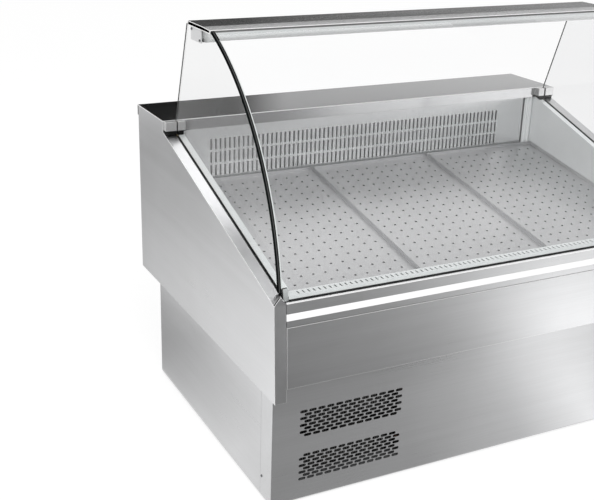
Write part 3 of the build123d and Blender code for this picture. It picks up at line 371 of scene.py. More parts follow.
@dataclass(frozen=True)
class BrushedSteel(Finish):
    """Stainless sheet with brush lines, soft bands of tone, marks of wiping, and folds painted near-white as
    a highlight.
    """

    grain: Axis
    level: float = 0.60
    contrast: float = 0.09
    roughness: float = 0.30
    relief: float = 0.04
    polish: float = 1.0
    fold_level: float = 0.98
    fold_roughness: float = 0.50
    blues: Pair = (0.006, 0.012)
    hairline_cells: Pair = (8.0, 1300.0)
    band_cells: Pair = (0.8, 42.0)
    wipe_cells: Pair = (2.0, 6.0)
    cloud_cells: float = 2.4
    line_shares: Pair = (0.6, 0.4)
    tone_shares: Triple = (0.6, 0.3, 0.1)
    tone_range: Pair = (0.34, 0.66)
    roughness_swing: float = 0.10

    def make(self) -> bpy.types.Material:
        """Build the brushed sheet.

        Returns:
            The material.
        """
        graph = MaterialGraph(self.name)
        hairline = graph.noise(self.grain.stretch(*self.hairline_cells), detail=2.0)
        band = graph.noise(self.grain.stretch(*self.band_cells), detail=3.0)
        cloud = graph.noise(self.cloud_cells, detail=4.0, twist=0.6)
        wiped = graph.noise(self.grain.stretch(*self.wipe_cells), detail=2.0)
        lines = graph.weighed(self.line_shares, (hairline, band))
        tone = graph.spread(graph.weighed(self.tone_shares, (lines, cloud, wiped)), *self.tone_range)
        darker = grey(self.level - self.contrast / 2, self.blues[0])
        lighter = grey(self.level + self.contrast / 2, self.blues[1])
        roughness = graph.vary(self.roughness, lines, self.roughness_swing)
        roughness = graph.vary(roughness, wiped, self.roughness_swing)
        fold = graph.read("ShaderNodeAttribute", {"attribute_name": FOLD_MARK}, None, "Fac")
        # Fold and cut-edge faces take a near-white colour: a painted highlight along the folds.
        return graph.surface({
            "Base Color": graph.tint(fold, graph.tint(tone, darker, lighter), grey(self.fold_level)),
            "Metallic": self.polish,
            "Roughness": roughness + fold * (self.fold_roughness - self.roughness),
            "Normal": graph.bump(hairline, self.relief, depth=0.0004),
        })


@dataclass(frozen=True)
class ClearGlass(Finish):
    """Clean float glass with opaque polished edges, which light passes without a shadow."""

    clarity: float
    bend: float
    haze_parts: tuple[Pair, Pair] = ((-0.010, 0.004), (0.005, 0.002))
    haze_roughness: float = 0.012
    rim_roughness: float = 0.42
    dark: Shades = ((0.002, 0.003, 0.003, 1.0), (0.008, 0.010, 0.010, 1.0))
    passing: Colour = (0.93, 0.95, 0.945, 1.0)

    def edge(self, graph: MaterialGraph) -> Value:
        """Return 1 on the polished edges and 0 on the faces; each pane has its own way."""
        raise NotImplementedError

    def rim_colour(self, graph: MaterialGraph, ground: Value) -> Value:
        """Return the colour of the edges from the fine noise of their ground; each pane has its own."""
        raise NotImplementedError

    def make(self) -> bpy.types.Material:
        """Build the pane and its edges.

        Returns:
            The material.
        """
        graph = MaterialGraph(self.name)
        haze = graph.noise(cells=3.0, detail=3.0)
        hazy, clearer = (grey(self.clarity + part, blue) for part, blue in self.haze_parts)
        pane = graph.principled({
            "Base Color": graph.tint(haze, hazy, clearer),
            "Roughness": self.haze_roughness * graph.spread(haze, low=0.5, high=0.8),
            "IOR": self.bend,
            "Transmission Weight": 1.0,
        })
        ground = graph.noise(cells=240.0, detail=2.0)
        rim = graph.principled({
            "Base Color": self.rim_colour(graph, ground),
            "Roughness": graph.vary(self.rim_roughness, ground, swing=0.15),
            "Specular IOR Level": 0.0,
        })
        shadow, scattered = graph.ray("Is Shadow Ray", "Is Diffuse Ray")
        solid = graph.blended(self.edge(graph), pane, rim)
        return graph.close(graph.blended(shadow.larger(scattered), solid, graph.clear(self.passing)))


@dataclass(frozen=True)
class BentGlass(ClearGlass):
    """The bent pane, dark over a narrow border at its ends, with a lighter line in it, and along its top."""

    border: float = 0.7130
    line: Pair = (0.7160, 0.7190)
    line_level: float = 0.06
    top: float = 1.2738
    top_level: float = 0.15

    def edge(self, graph: MaterialGraph) -> Value:
        """Return 1 on the border at the ends and along the top, and 0 elsewhere."""
        return (abs(graph.axis(Axis.ALONG)) > self.border).larger(graph.axis(Axis.UP) > self.top)

    def rim_colour(self, graph: MaterialGraph, ground: Value) -> Value:
        """Colour the border.

        Args:
            graph: Graph of the pane.
            ground: Fine noise of the ground edge.

        Returns:
            The colour.
        """
        across = abs(graph.axis(Axis.ALONG))
        in_line = (across > self.line[0]) * (across < self.line[1])
        on_top = (graph.axis(Axis.UP) > self.top) * (across < self.border)
        ends = graph.tint(in_line, graph.tint(ground, *self.dark), grey(self.line_level))
        return graph.tint(on_top, ends, grey(self.top_level))


@dataclass(frozen=True)
class FlatGlass(ClearGlass):
    """A flat end pane with a dark rear edge and a front edge painted pale as a highlight."""

    edge_turn: float = 0.7
    front: float = -0.05
    # Pale colours of the front edge: a painted highlight on the glass edge.
    pale: Shades = (grey(0.74), grey(0.82))

    def edge(self, graph: MaterialGraph) -> Value:
        """Return 1 where the surface faces away from the pane's own direction, and 0 on its two faces."""
        normal = graph.read("ShaderNodeNewGeometry", None, None, "Normal")
        return abs(graph.read("ShaderNodeSeparateXYZ", None, {0: normal}, Axis.ALONG.value)) < self.edge_turn

    def rim_colour(self, graph: MaterialGraph, ground: Value) -> Value:
        """Return the pale colour in front, a painted highlight, and the dark one behind."""
        pale, dark = graph.tint(ground, *self.pale), graph.tint(ground, *self.dark)
        return graph.tint(graph.axis(Axis.DEEP) > self.front, pale, dark)


@dataclass(frozen=True)
class PaneSeal(Finish):
    """Black rubber along the strips, and a clear joint where the end panes meet the bent glass."""

    bend_centre: Pair = (0.278, 0.580)
    joint_radius: float = 0.748
    joint_foot: float = 0.690
    joint: Colour = grey(0.97)
    rubber: Shades = (grey(0.008), grey(0.018))
    roughness: float = 0.55

    def make(self) -> bpy.types.Material:
        """Build the rubber and the clear joint.

        Returns:
            The material.
        """
        graph = MaterialGraph(self.name)
        fine = graph.noise(cells=700.0, detail=2.0)
        depth = graph.axis(Axis.DEEP) - self.bend_centre[0]
        height = graph.axis(Axis.UP) - self.bend_centre[1]
        beyond = depth * depth + height * height > self.joint_radius ** 2
        at_joint = beyond * (graph.axis(Axis.UP) > self.joint_foot)
        rubber = graph.principled({
            "Base Color": graph.tint(fine, *self.rubber),
            "Roughness": graph.vary(self.roughness, fine, swing=0.12),
            "Normal": graph.bump(fine, strength=0.2, depth=0.0003),
        })
        return graph.close(graph.blended(at_joint, rubber, graph.clear(self.joint)))


@dataclass(frozen=True)
class ClampMetal(Finish):
    """Pane clamp with a bright cap over a black foot."""

    parting: float = 0.927
    cap: Shades = (grey(0.66), grey(0.80))
    cap_roughness: float = 0.28
    foot: Shades = (grey(0.004), grey(0.010))
    foot_roughness: float = 0.50
    foot_gloss: float = 0.10

    def make(self) -> bpy.types.Material:
        """Build the two parts of the clamp.

        Returns:
            The material.
        """
        graph = MaterialGraph(self.name)
        fine = graph.noise(cells=500.0, detail=2.0)
        bright = graph.principled({
            "Base Color": graph.tint(fine, *self.cap),
            "Metallic": 1.0,
            "Roughness": graph.vary(self.cap_roughness, fine, swing=0.12),
            "Normal": graph.bump(fine, strength=0.05, depth=0.0003),
        })
        black = graph.principled({
            "Base Color": graph.tint(fine, *self.foot),
            "Roughness": graph.vary(self.foot_roughness, fine, swing=0.12),
            "Specular IOR Level": self.foot_gloss,
        })
        return graph.close(graph.blended(graph.axis(Axis.UP) > self.parting, black, bright))


@dataclass(frozen=True)
class Moulded(Finish):
    """Moulded plastic or rubber with a fine pebbled skin and uneven gloss."""

    colour: Colour
    roughness: float = 0.45
    pebble: float = 900.0
    relief: float = 0.15
    shift: float = 0.12

    def make(self) -> bpy.types.Material:
        """Build the moulded skin.

        Returns:
            The material.
        """
        graph = MaterialGraph(self.name)
        skin = graph.noise(self.pebble, detail=2.0)
        cloud = graph.noise(cells=14.0, detail=3.0)
        darker = tuple(c * (1.0 - self.shift) for c in self.colour[:3]) + (1.0,)
        return graph.surface({
            "Base Color": graph.tint(graph.spread(cloud, low=0.3, high=0.7), darker, self.colour),
            "Roughness": graph.vary(graph.vary(self.roughness, cloud, swing=0.12), skin, swing=0.08),
            "Normal": graph.bump(skin, self.relief, depth=0.0004),
        })


@dataclass(frozen=True)
class Painted(Finish):
    """Powder-coated steel with the slight orange peel of the coat and dust in its hollows."""

    colour: Colour
    dust: Colour = (0.30, 0.29, 0.27, 1.0)
    dust_share: float = 0.35
    roughness: float = 0.38
    dust_roughness: float = 0.30
    gloss: float = 0.25

    def make(self) -> bpy.types.Material:
        """Build the coat.

        Returns:
            The material.
        """
        graph = MaterialGraph(self.name)
        peel = graph.noise(cells=420.0, detail=1.0)
        settled = graph.spread(graph.noise(cells=9.0, detail=5.0), low=0.52, high=0.80)
        return graph.surface({
            "Base Color": graph.tint(self.dust_share * settled, self.colour, self.dust),
            "Roughness": self.roughness + self.dust_roughness * settled,
            "Coat Weight": self.gloss * (1.0 - settled),
            "Normal": graph.bump(peel, strength=0.25, depth=0.0005),
        })


@dataclass(frozen=True)
class Extruded(Finish):
    """Anodised aluminium profile with the lines of the die along it."""

    dull: Colour = grey(0.56)
    bright: Colour = grey(0.66)
    roughness: float = 0.34
    die_cells: Pair = (1.5, 700.0)
    shares: Pair = (0.6, 0.4)

    def make(self) -> bpy.types.Material:
        """Build the profile's skin.

        Returns:
            The material.
        """
        graph = MaterialGraph(self.name)
        die = graph.noise(Axis.ALONG.stretch(*self.die_cells), detail=2.0)
        cloud = graph.noise(cells=6.0, detail=3.0)
        tone = graph.spread(graph.weighed(self.shares, (die, cloud)), low=0.3, high=0.7)
        return graph.surface({
            "Base Color": graph.tint(tone, self.dull, self.bright),
            "Metallic": 1.0,
            "Roughness": graph.vary(self.roughness, die, swing=0.16),
            "Normal": graph.bump(die, strength=0.10, depth=0.0005),
        })


@dataclass(frozen=True)
class Copper(Finish):
    """Drawn copper pipe, brown where it has tarnished."""

    bright: Colour = (0.80, 0.36, 0.20, 1.0)
    brown: Colour = (0.30, 0.125, 0.070, 1.0)
    roughness: float = 0.24
    brown_roughness: float = 0.28

    def make(self) -> bpy.types.Material:
        """Build the pipe's skin.

        Returns:
            The material.
        """
        graph = MaterialGraph(self.name)
        stain = graph.noise(cells=38.0, detail=4.0, twist=0.8)
        tarnish = graph.spread(stain, low=0.40, high=0.68)
        return graph.surface({
            "Base Color": graph.tint(tarnish, self.bright, self.brown),
            "Metallic": 1.0,
            "Roughness": self.roughness + self.brown_roughness * tarnish,
            "Normal": graph.bump(stain, strength=0.08, depth=0.0006),
        })


@dataclass(frozen=True)
class FinStock(Finish):
    """Thin aluminium fin sheet, a little dull and dusty at its edges."""

    level: float
    dust_share: float = 0.55
    dust_blue: float = -0.02
    dust_matt: float = 0.6
    roughness: float = 0.36
    dust_roughness: float = 0.30

    def make(self) -> bpy.types.Material:
        """Build the fin sheet.

        Returns:
            The material.
        """
        graph = MaterialGraph(self.name)
        dusty = graph.spread(graph.noise(cells=26.0, detail=4.0), low=0.42, high=0.72)
        fine = graph.noise(cells=300.0, detail=2.0)
        clean, dull = grey(self.level), grey(self.dust_share * self.level, self.dust_blue)
        return graph.surface({
            "Base Color": graph.tint(dusty, clean, dull),
            "Metallic": 1.0 - self.dust_matt * dusty,
            "Roughness": self.roughness + self.dust_roughness * dusty,
            "Normal": graph.bump(fine, strength=0.12, depth=0.0003),
        })


@dataclass(frozen=True)
class RigidFoam(Finish):
    """Cut rigid foam with open cells and yellowed patches."""

    fresh: Colour = (0.76, 0.66, 0.40, 1.0)
    yellowed: Colour = (0.66, 0.52, 0.27, 1.0)
    cell_scale: float = 520.0
    roughness: float = 0.82

    def make(self) -> bpy.types.Material:
        """Build the foam.

        Returns:
            The material.
        """
        graph = MaterialGraph(self.name)
        cells = graph.read("ShaderNodeTexVoronoi", None, {"Vector": graph.place, "Scale": self.cell_scale})
        aged = graph.noise(cells=7.0, detail=3.0)
        return graph.surface({
            "Base Color": graph.tint(graph.spread(aged, low=0.3, high=0.7), self.fresh, self.yellowed),
            "Roughness": graph.vary(self.roughness, aged, swing=0.12),
            "Normal": graph.bump(cells, strength=0.5, depth=0.0009),
        })


@dataclass(frozen=True)
class OpalCover(Finish):
    """Opal acrylic lamp cover, a little lit from behind, with painted shade making it darker towards its
    lower edge.
    """

    glow: float = 0.15
    light: Shades = ((0.93, 0.95, 0.98, 1.0), (1.0, 1.0, 1.0, 1.0))
    low: float = 1.230
    high: float = 1.262
    dense: Shades = (grey(0.14), grey(0.19))
    milky: Colour = grey(0.95)
    drawn_cells: Pair = (2.0, 160.0)
    roughness: float = 0.26
    gloss: float = 0.3

    def make(self) -> bpy.types.Material:
        """Build the cover.

        Returns:
            The material.
        """
        graph = MaterialGraph(self.name)
        drawn = graph.noise(Axis.ALONG.stretch(*self.drawn_cells), detail=2.0)
        rise = graph.spread(graph.axis(Axis.UP), self.low, self.high)
        return graph.surface({
            # Below low the cover takes the dark painted shade; above high it is milky white.
            "Base Color": graph.tint(rise, graph.tint(drawn, *self.dense), self.milky),
            "Emission Color": graph.tint(drawn, *self.light),
            "Emission Strength": self.glow,
            "Roughness": graph.vary(self.roughness, drawn, swing=0.12),
            "Coat Weight": graph.vary(self.gloss, drawn, swing=0.2),
            "Normal": graph.bump(drawn, strength=0.06, depth=0.0005),
        })


@dataclass(frozen=True)
class LampBoard(Finish):
    """White circuit board with a row of yellow light points."""

    pitch: float = 0.020
    row_height: float = 1.252
    point_share: float = 0.12
    point_half: float = 0.0022
    point: Colour = (0.80, 0.62, 0.10, 1.0)
    mask: Shades = ((0.78, 0.78, 0.75, 1.0), (0.86, 0.86, 0.84, 1.0))
    roughness: float = 0.40

    def make(self) -> bpy.types.Material:
        """Build the board.

        Returns:
            The material.
        """
        graph = MaterialGraph(self.name)
        step = abs((graph.axis(Axis.ALONG) / self.pitch).part() - 0.5)
        across = abs(graph.axis(Axis.UP) - self.row_height)
        at_point = (step < self.point_share) * (across < self.point_half)
        cloud = graph.noise(cells=60.0, detail=2.0)
        return graph.surface({
            "Base Color": graph.tint(at_point, graph.tint(cloud, *self.mask), self.point),
            "Roughness": graph.vary(self.roughness, cloud, swing=0.15),
        })


@dataclass(frozen=True)
class DarkWindow(Finish):
    """Smoked display window with faint wiping marks."""

    smoke: Shades = ((0.012, 0.006, 0.007, 1.0), (0.022, 0.012, 0.013, 1.0))
    wipe_cells: Triple = (60.0, 60.0, 240.0)
    roughness: float = 0.06
    wipe_roughness: float = 0.10
    gloss: float = 0.6

    def make(self) -> bpy.types.Material:
        """Build the window.

        Returns:
            The material.
        """
        graph = MaterialGraph(self.name)
        wiped = graph.noise(self.wipe_cells, detail=3.0, twist=1.0)
        return graph.surface({
            "Base Color": graph.tint(wiped, *self.smoke),
            "Roughness": self.roughness + self.wipe_roughness * graph.spread(wiped, low=0.45, high=0.8),
            "Coat Weight": graph.vary(self.gloss, wiped, swing=0.3),
        })


STEEL_LONG = BrushedSteel("brushed_steel_lengthwise", Axis.ALONG)
STEEL_DEEP = BrushedSteel("brushed_steel_crosswise", Axis.DEEP)
STEEL_TOP = BrushedSteel("brushed_steel_worktop", Axis.ALONG, contrast=0.06, roughness=0.12)
STEEL_TRAY = BrushedSteel("brushed_steel_trays", Axis.DEEP, level=0.64, roughness=0.34)
# The well's three steels are drawn paler and less metallic than the outer steel: painted lamplight over the
# steel's own colour.
STEEL_WELL_LAMPLIT = BrushedSteel("steel_well_painted_lamplight", Axis.ALONG, level=0.88, roughness=0.36, polish=0.20)
STEEL_AIR_WALL_LAMPLIT = BrushedSteel("steel_air_wall_painted_lamplight", Axis.ALONG, level=0.80, roughness=0.24, polish=0.85)
STEEL_CORNER_LAMPLIT = BrushedSteel("steel_corner_painted_lamplight", Axis.UP, level=0.88, roughness=0.36, polish=0.25)
STEEL_SATIN = BrushedSteel("satin_steel_brackets", Axis.DEEP, level=0.74, roughness=0.42, polish=0.30)
STEEL_DARK = BrushedSteel("dark_steel_fixings", Axis.UP, level=0.20, contrast=0.06, roughness=0.36)
GLASS_BENT = BentGlass("clear_glass_bent", clarity=0.975, bend=1.3)
GLASS_FLAT = FlatGlass("clear_glass_flat", clarity=0.905, bend=1.22)
RUBBER = Moulded("black_rubber_seal", grey(0.012), roughness=0.55, relief=0.2)
PANE_SEAL = PaneSeal("pane_seal_and_joint")
CLAMP = ClampMetal("clamp_cap_and_foot")
WHITE_STRIP = Moulded("white_strip", grey(0.93), roughness=0.38, relief=0.05, shift=0.03)
BLACK_PLASTIC = Moulded("black_moulding", grey(0.018), roughness=0.42)
GREY_PIPE = Moulded("grey_pipe", grey(0.17, 0.01), roughness=0.40, pebble=300.0, relief=0.08)
ROCKER_PLASTIC = Moulded("gloss_black_rocker", grey(0.014), roughness=0.20, relief=0.03)
MARK_WHITE = Moulded("white_marking", grey(0.80), roughness=0.50, relief=0.05, shift=0.05)
PLATE_PAINT = Painted("graphite_control_plate", grey(0.035, 0.003), dust=grey(0.06))
FRAME_PAINT = Painted("grey_frame_paint", grey(0.105, 0.006))
MOTOR_PAINT = Painted("black_motor_paint", grey(0.010))
PROFILE = Extruded("anodised_profile")
COPPER = Copper("copper_pipe")
FINS_BRIGHT = FinStock("bright_fin_stock", level=0.62)
FINS_UNIT = FinStock("unit_fin_stock", level=0.30)
FOAM = RigidFoam("rigid_foam")
OPAL = OpalCover("opal_cover")
BOARD = LampBoard("lamp_board_white")
WINDOW = DarkWindow("smoked_window")


class PatternGraph(Graph):
    """A geometry tree for what repeats, with named inputs for its sizes."""

    def __init__(self, name: str, sizes: Iterable[str]) -> None:
        """Start a tree.

        Args:
            name: Name of the tree.
            sizes: Names of its number inputs.
        """
        super().__init__(bpy.data.node_groups.new(name, "GeometryNodeTree"))
        face = self.tree.interface
        face.new_socket(name="Geometry", in_out="INPUT", socket_type="NodeSocketGeometry")
        for size in sizes:
            face.new_socket(name=size, in_out="INPUT", socket_type="NodeSocketFloat")
        face.new_socket(name="Finish", in_out="INPUT", socket_type="NodeSocketMaterial")
        face.new_socket(name="Geometry", in_out="OUTPUT", socket_type="NodeSocketGeometry")
        self.entry = self.node("NodeGroupInput")

    def given(self, *names: str) -> list[Value]:
        """Return named inputs of the tree."""
        return [Value(self, self.entry.outputs[name]) for name in names]

    def moved(self, geometry: Value, x: Operand, y: Operand, z: Operand) -> Value:
        """Return the geometry moved by three values."""
        shift = self.vector(x, y, z)
        return self.read("GeometryNodeTransform", None, {"Geometry": geometry, "Translation": shift})

    def block(self, x: Operand, y: Operand, z: Operand) -> Value:
        """Return a block of three sizes about the origin."""
        return self.read("GeometryNodeMeshCube", None, {"Size": self.vector(x, y, z)})

    def round_bar(self, sides: int, radius: Operand, length: Operand) -> Value:
        """Return an upright bar of some sides about the origin."""
        sizes = {"Vertices": sides, "Radius": radius, "Depth": length}
        return self.read("GeometryNodeMeshCylinder", None, sizes)

    def cut(self, body: Value, tool: Value) -> Value:
        """Return the body with the tool cut out of it."""
        parts = {"Mesh 1": body, "Mesh 2": [tool]}
        return self.read("GeometryNodeMeshBoolean", {"operation": "DIFFERENCE"}, parts)

    def joined(self, parts: list[Value]) -> Value:
        """Return several geometries as one."""
        return self.read("GeometryNodeJoinGeometry", None, {"Geometry": parts})

    def set_out(self, points: Value, shape: Value, rotation: Value) -> None:
        """Close the tree with a shape on each point.

        Args:
            points: Where the shape goes.
            shape: What is repeated.
            rotation: How each one is turned.
        """
        placed = self.read("GeometryNodeInstanceOnPoints", None, {
            "Points": points, "Instance": shape, "Rotation": rotation,
        })
        plain = self.read("GeometryNodeRealizeInstances", None, {"Geometry": placed})
        finish, = self.given("Finish")
        dressed = self.read("GeometryNodeSetMaterial", None, {"Geometry": plain, "Material": finish})
        self.node("NodeGroupOutput", None, {"Geometry": dressed})

    def set_on_seats(self, shape: Value) -> None:
        """Close the tree with a shape on each point of its input, its Z along the point's own direction.

        Args:
            shape: What is repeated.
        """
        toward = self.read("GeometryNodeInputNamedAttribute", {"data_type": "FLOAT_VECTOR"},
                           {"Name": HEAD_DIRECTION})
        facing = self.read("FunctionNodeAlignRotationToVector", {"axis": "Z"}, {"Vector": toward})
        self.set_out(self.given("Geometry")[0], shape, facing)

    def run(self, sizes: dict[str, float], finish: Finish,
            start: bpy.types.Mesh | None = None) -> bpy.types.Mesh:
        """Run the tree once and keep what it makes as a plain mesh.

        Args:
            sizes: Value of each named input.
            finish: Finish of the result.
            start: Mesh that the tree starts from, if it needs one.

        Returns:
            The plain mesh.
        """
        start = start or bpy.data.meshes.new("start")
        carrier = bpy.data.objects.new("pattern_carrier", start)
        bpy.context.scene.collection.objects.link(carrier)
        modifier = carrier.modifiers.new("pattern", "NODES")
        modifier.node_group = self.tree
        inputs = [item for item in self.tree.interface.items_tree if item.in_out == "INPUT"]
        for item in inputs:
            if item.name in sizes:
                modifier[item.identifier] = sizes[item.name]
            elif item.name == "Finish":
                modifier[item.identifier] = finish.material()
        depsgraph = bpy.context.evaluated_depsgraph_get()
        made = bpy.data.meshes.new_from_object(carrier.evaluated_get(depsgraph), depsgraph=depsgraph)
        carrier.modifiers.remove(modifier)
        bpy.data.objects.remove(carrier)
        bpy.data.meshes.remove(start)
        return made


@dataclass(frozen=True)
class Patterns:
    """The counter's repeating shapes, one tree for each, with the number of sides of their round parts."""

    dome_sides: int = 28
    dome_rings: int = 12
    cone_sides: int = 32
    cone_taper: float = 0.64
    shank_sides: int = 20
    hexagon: int = 6

    def dome_screws(self) -> PatternGraph:
        """Make the tree of dome screws with a cross recess, one on each seat.

        Returns:
            The tree.
        """
        names = ("Head Radius", "Head Height", "Slot Length", "Slot Width", "Slot Depth")
        graph = PatternGraph("dome_screws", names)
        radius, height, length, width, slot_depth = graph.given(*names)
        depth = 2.0 * slot_depth
        ball = graph.read("GeometryNodeMeshUVSphere", None, {
            "Segments": self.dome_sides, "Rings": self.dome_rings, "Radius": radius,
        })
        dome = graph.read("GeometryNodeTransform", None, {
            "Geometry": ball, "Scale": graph.vector(1.0, 1.0, height / radius),
        })
        first = graph.moved(graph.block(length, width, depth), 0.0, 0.0, height)
        second = graph.moved(graph.block(width, length, depth), 0.0, 0.0, height)
        graph.set_on_seats(graph.cut(graph.cut(dome, first), second))
        return graph

    def pane_bolts(self) -> PatternGraph:
        """Make the tree of bolts through a pane: head with a hexagon socket, shank and nut.

        Returns:
            The tree.
        """
        names = ("Head Radius", "Head Height", "Socket Radius", "Shank Radius", "Shank Length", "Nut Radius",
                 "Nut Height", "Nut Depth")
        graph = PatternGraph("pane_bolts", names)
        radius, height, socket, shank, length, nut, nut_height, nut_depth = graph.given(*names)
        cone = graph.read("GeometryNodeMeshCone", None, {
            "Vertices": self.cone_sides, "Radius Top": self.cone_taper * radius, "Radius Bottom": radius,
            "Depth": height,
        })
        hollow = graph.moved(graph.round_bar(self.hexagon, socket, height), 0.0, 0.0, height)
        bar = graph.moved(graph.round_bar(self.shank_sides, shank, length), 0.0, 0.0, -0.5 * length)
        nut_drop = -0.5 * nut_height - nut_depth
        hexagon = graph.moved(graph.round_bar(self.hexagon, nut, nut_height), 0.0, 0.0, nut_drop)
        graph.set_on_seats(graph.joined([graph.cut(cone, hollow), bar, hexagon]))
        return graph

    @staticmethod
    def fin_pack() -> PatternGraph:
        """Make the tree of thin fins in a row along X.

        Returns:
            The tree.
        """
        names = ("Length", "Pitch", "Fin Thickness", "Fin Depth", "Fin Height")
        graph = PatternGraph("fin_pack", names)
        length, pitch, thickness, depth, height = graph.given(*names)
        row = graph.read("GeometryNodeMeshLine", {"mode": "OFFSET"}, {
            "Count": (length / pitch).whole() + 1.0,
            "Start Location": graph.vector(-0.5 * length, 0.0, 0.0),
            "Offset": graph.vector(pitch, 0.0, 0.0),
        })
        graph.set_out(row, graph.block(thickness, depth, height), graph.vector(0.0, 0.0, 0.0))
        return graph

    @staticmethod
    def ring_of_bars() -> PatternGraph:
        """Make the tree of small bars round part of a circle, each pointing outwards.

        Returns:
            The tree.
        """
        names = ("Count", "Radius", "Step", "Bar Length", "Bar Width", "Bar Height")
        graph = PatternGraph("ring_of_bars", names)
        count, radius, step, length, width, height = graph.given(*names)
        row = graph.read("GeometryNodeMeshLine", {"mode": "OFFSET"}, {"Count": count})
        angle = step * graph.read("GeometryNodeInputIndex")
        circle = graph.read("GeometryNodeSetPosition", None, {
            "Geometry": row, "Position": graph.vector(radius * angle.cosine(), radius * angle.sine(), 0.0),
        })
        graph.set_out(circle, graph.block(length, width, height), graph.vector(0.0, 0.0, angle))
        return graph


class Workshop:
    """Turns meshes into pieces that ride on the counter's bodies."""

    @staticmethod
    def dress(finish: Finish, *nodes: str) -> None:
        """Give CAD nodes a finish.

        Args:
            finish: The finish.
            nodes: Names of the nodes.
        """
        for node in nodes:
            slots = frame["nodes"][node].data.materials
            slots.clear()
            slots.append(finish.material())
            LOG.info("%s is finished in %s", node, finish.name)

    @staticmethod
    def piece(name: str, mesh: bpy.types.Mesh, body: str, slot: str, finish: Finish,
              stands_for: Sequence[str] = ()) -> bpy.types.Object:
        """Add a piece to the counter.

        Args:
            name: Name of the piece.
            mesh: Its mesh, with its place in it.
            body: Body that it moves with.
            slot: Material slot of the record; not used.
            finish: Its finish.
            stands_for: CAD nodes that it replaces.

        Returns:
            The new object.
        """
        mesh.name = name
        mesh.materials.clear()
        mesh.materials.append(finish.material())
        made = bpy.data.objects.new(name, mesh)
        bpy.context.scene.collection.objects.link(made)
        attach(made, body)
        if stands_for:
            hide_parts(*stands_for)
        LOG.info("%s rides on %s in %s", name, body, finish.name)
        return made

    @staticmethod
    def welded(node: str) -> bmesh.types.BMesh:
        """Copy a CAD node's mesh, with its seams merged and its flat faces whole.

        Args:
            node: The CAD node.

        Returns:
            The copy.
        """
        solid = bmesh.new()
        solid.from_mesh(frame["nodes"][node].data)
        bmesh.ops.remove_doubles(solid, verts=solid.verts, dist=WELD_GAP)
        bmesh.ops.dissolve_limit(solid, angle_limit=FLAT_ANGLE, use_dissolve_boundaries=False,
                                 verts=solid.verts, edges=solid.edges)
        return solid

    @staticmethod
    def width(face: bmesh.types.BMFace) -> float:
        """Return the mean width of a face across its longest edge."""
        return face.calc_area() / max(edge.calc_length() for edge in face.edges)

    @staticmethod
    def plain(solid: bmesh.types.BMesh) -> bpy.types.Mesh:
        """Turn a solid into a mesh.

        Args:
            solid: The solid, which is freed.

        Returns:
            The mesh.
        """
        made = bpy.data.meshes.new("piece")
        solid.to_mesh(made)
        solid.free()
        return made

    @classmethod
    def shaded(cls, solid: bmesh.types.BMesh) -> bpy.types.Mesh:
        """Turn a solid into a mesh, smooth over shallow angles, sharp at steep ones and between wide flats.

        Args:
            solid: The solid, which is freed.

        Returns:
            The mesh.
        """
        for face in solid.faces:
            face.smooth = True
        for edge in solid.edges:
            wide = all(cls.width(face) > BEND_WIDTH for face in edge.link_faces)
            edge.smooth = edge.calc_face_angle(math.pi) < (BEND_ANGLE if wide else SMOOTH_ANGLE)
        return cls.plain(solid)

    @classmethod
    def folded(cls, node: str, radius: float, slot: str, finish: Finish) -> None:
        """Replace a sheet node by a copy whose outer folds are rounded, with its folds and cut edges marked.

        Args:
            node: The CAD node.
            radius: Radius of the folds.
            slot: Material slot of the record.
            finish: Its finish.
        """
        solid = cls.welded(node)
        mark = solid.faces.layers.float.new(FOLD_MARK)
        folds = []
        for edge in solid.edges:
            if len(edge.link_faces) != 2 or not edge.is_convex or edge.calc_face_angle() < FOLD_ANGLE:
                continue
            if min(cls.width(face) for face in edge.link_faces) > CUT_EDGE_WIDTH:
                folds.append(edge)
        bmesh.ops.bevel(solid, geom=folds, offset=radius, offset_type="OFFSET", segments=FOLD_STEPS,
                        profile=FOLD_ROUNDNESS, affect="EDGES", clamp_overlap=True)
        # Narrow faces are marked; brushed steel paints them near-white as a painted fold highlight.
        for face in solid.faces:
            face[mark] = float(cls.width(face) < CUT_EDGE_WIDTH)
        body = frame["nodes"][node]["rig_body"]
        made = cls.piece(f"{node}_folded", cls.shaded(solid), body, slot, finish, (node,))
        made.modifiers.new("even_faces", "WEIGHTED_NORMAL").keep_sharp = True

    @classmethod
    def seats(cls, node: str, height: float) -> bpy.types.Mesh:
        """Find where the heads of a node of fixings sit.

        Args:
            node: The CAD node, one island for each fixing.
            height: How far a head stands out.

        Returns:
            A mesh with a point under each head and the head's direction on it.
        """
        solid = cls.welded(node)
        left = set(solid.verts)
        points, directions = [], []
        while left:
            island, reach = set(), [left.pop()]
            while reach:
                here = reach.pop()
                island.add(here)
                fresh = {e.other_vert(here) for e in here.link_edges} & left
                left -= fresh
                reach.extend(fresh)
            low = Vector(min(v.co[i] for v in island) for i in range(3))
            high = Vector(max(v.co[i] for v in island) for i in range(3))
            span, seat = high - low, (low + high) / 2
            axis = min(range(3), key=lambda i: abs(span[(i + 1) % 3] - span[(i + 2) % 3]))
            side = 1.0 if seat[axis] > 0 else -1.0
            seat[axis] = (high if side > 0 else low)[axis] - side * height
            direction = Vector((0.0, 0.0, 0.0))
            direction[axis] = side
            points.append(seat)
            directions.extend(direction)
        solid.free()
        made = bpy.data.meshes.new("seats")
        made.from_pydata(points, [], [])
        made.attributes.new(HEAD_DIRECTION, "FLOAT_VECTOR", "POINT").data.foreach_set("vector", directions)
        return made


@dataclass
class EndPanels:
    """The two folded end casings with leaning post, pointed post top and sloping strip."""

    fold_radius: float = 0.0030

    def build(self) -> None:
        """Make the casings with rounded folds."""
        for node in ("end_panel_left", "end_panel_right"):
            Workshop.folded(node, self.fold_radius, "steel", STEEL_DEEP)


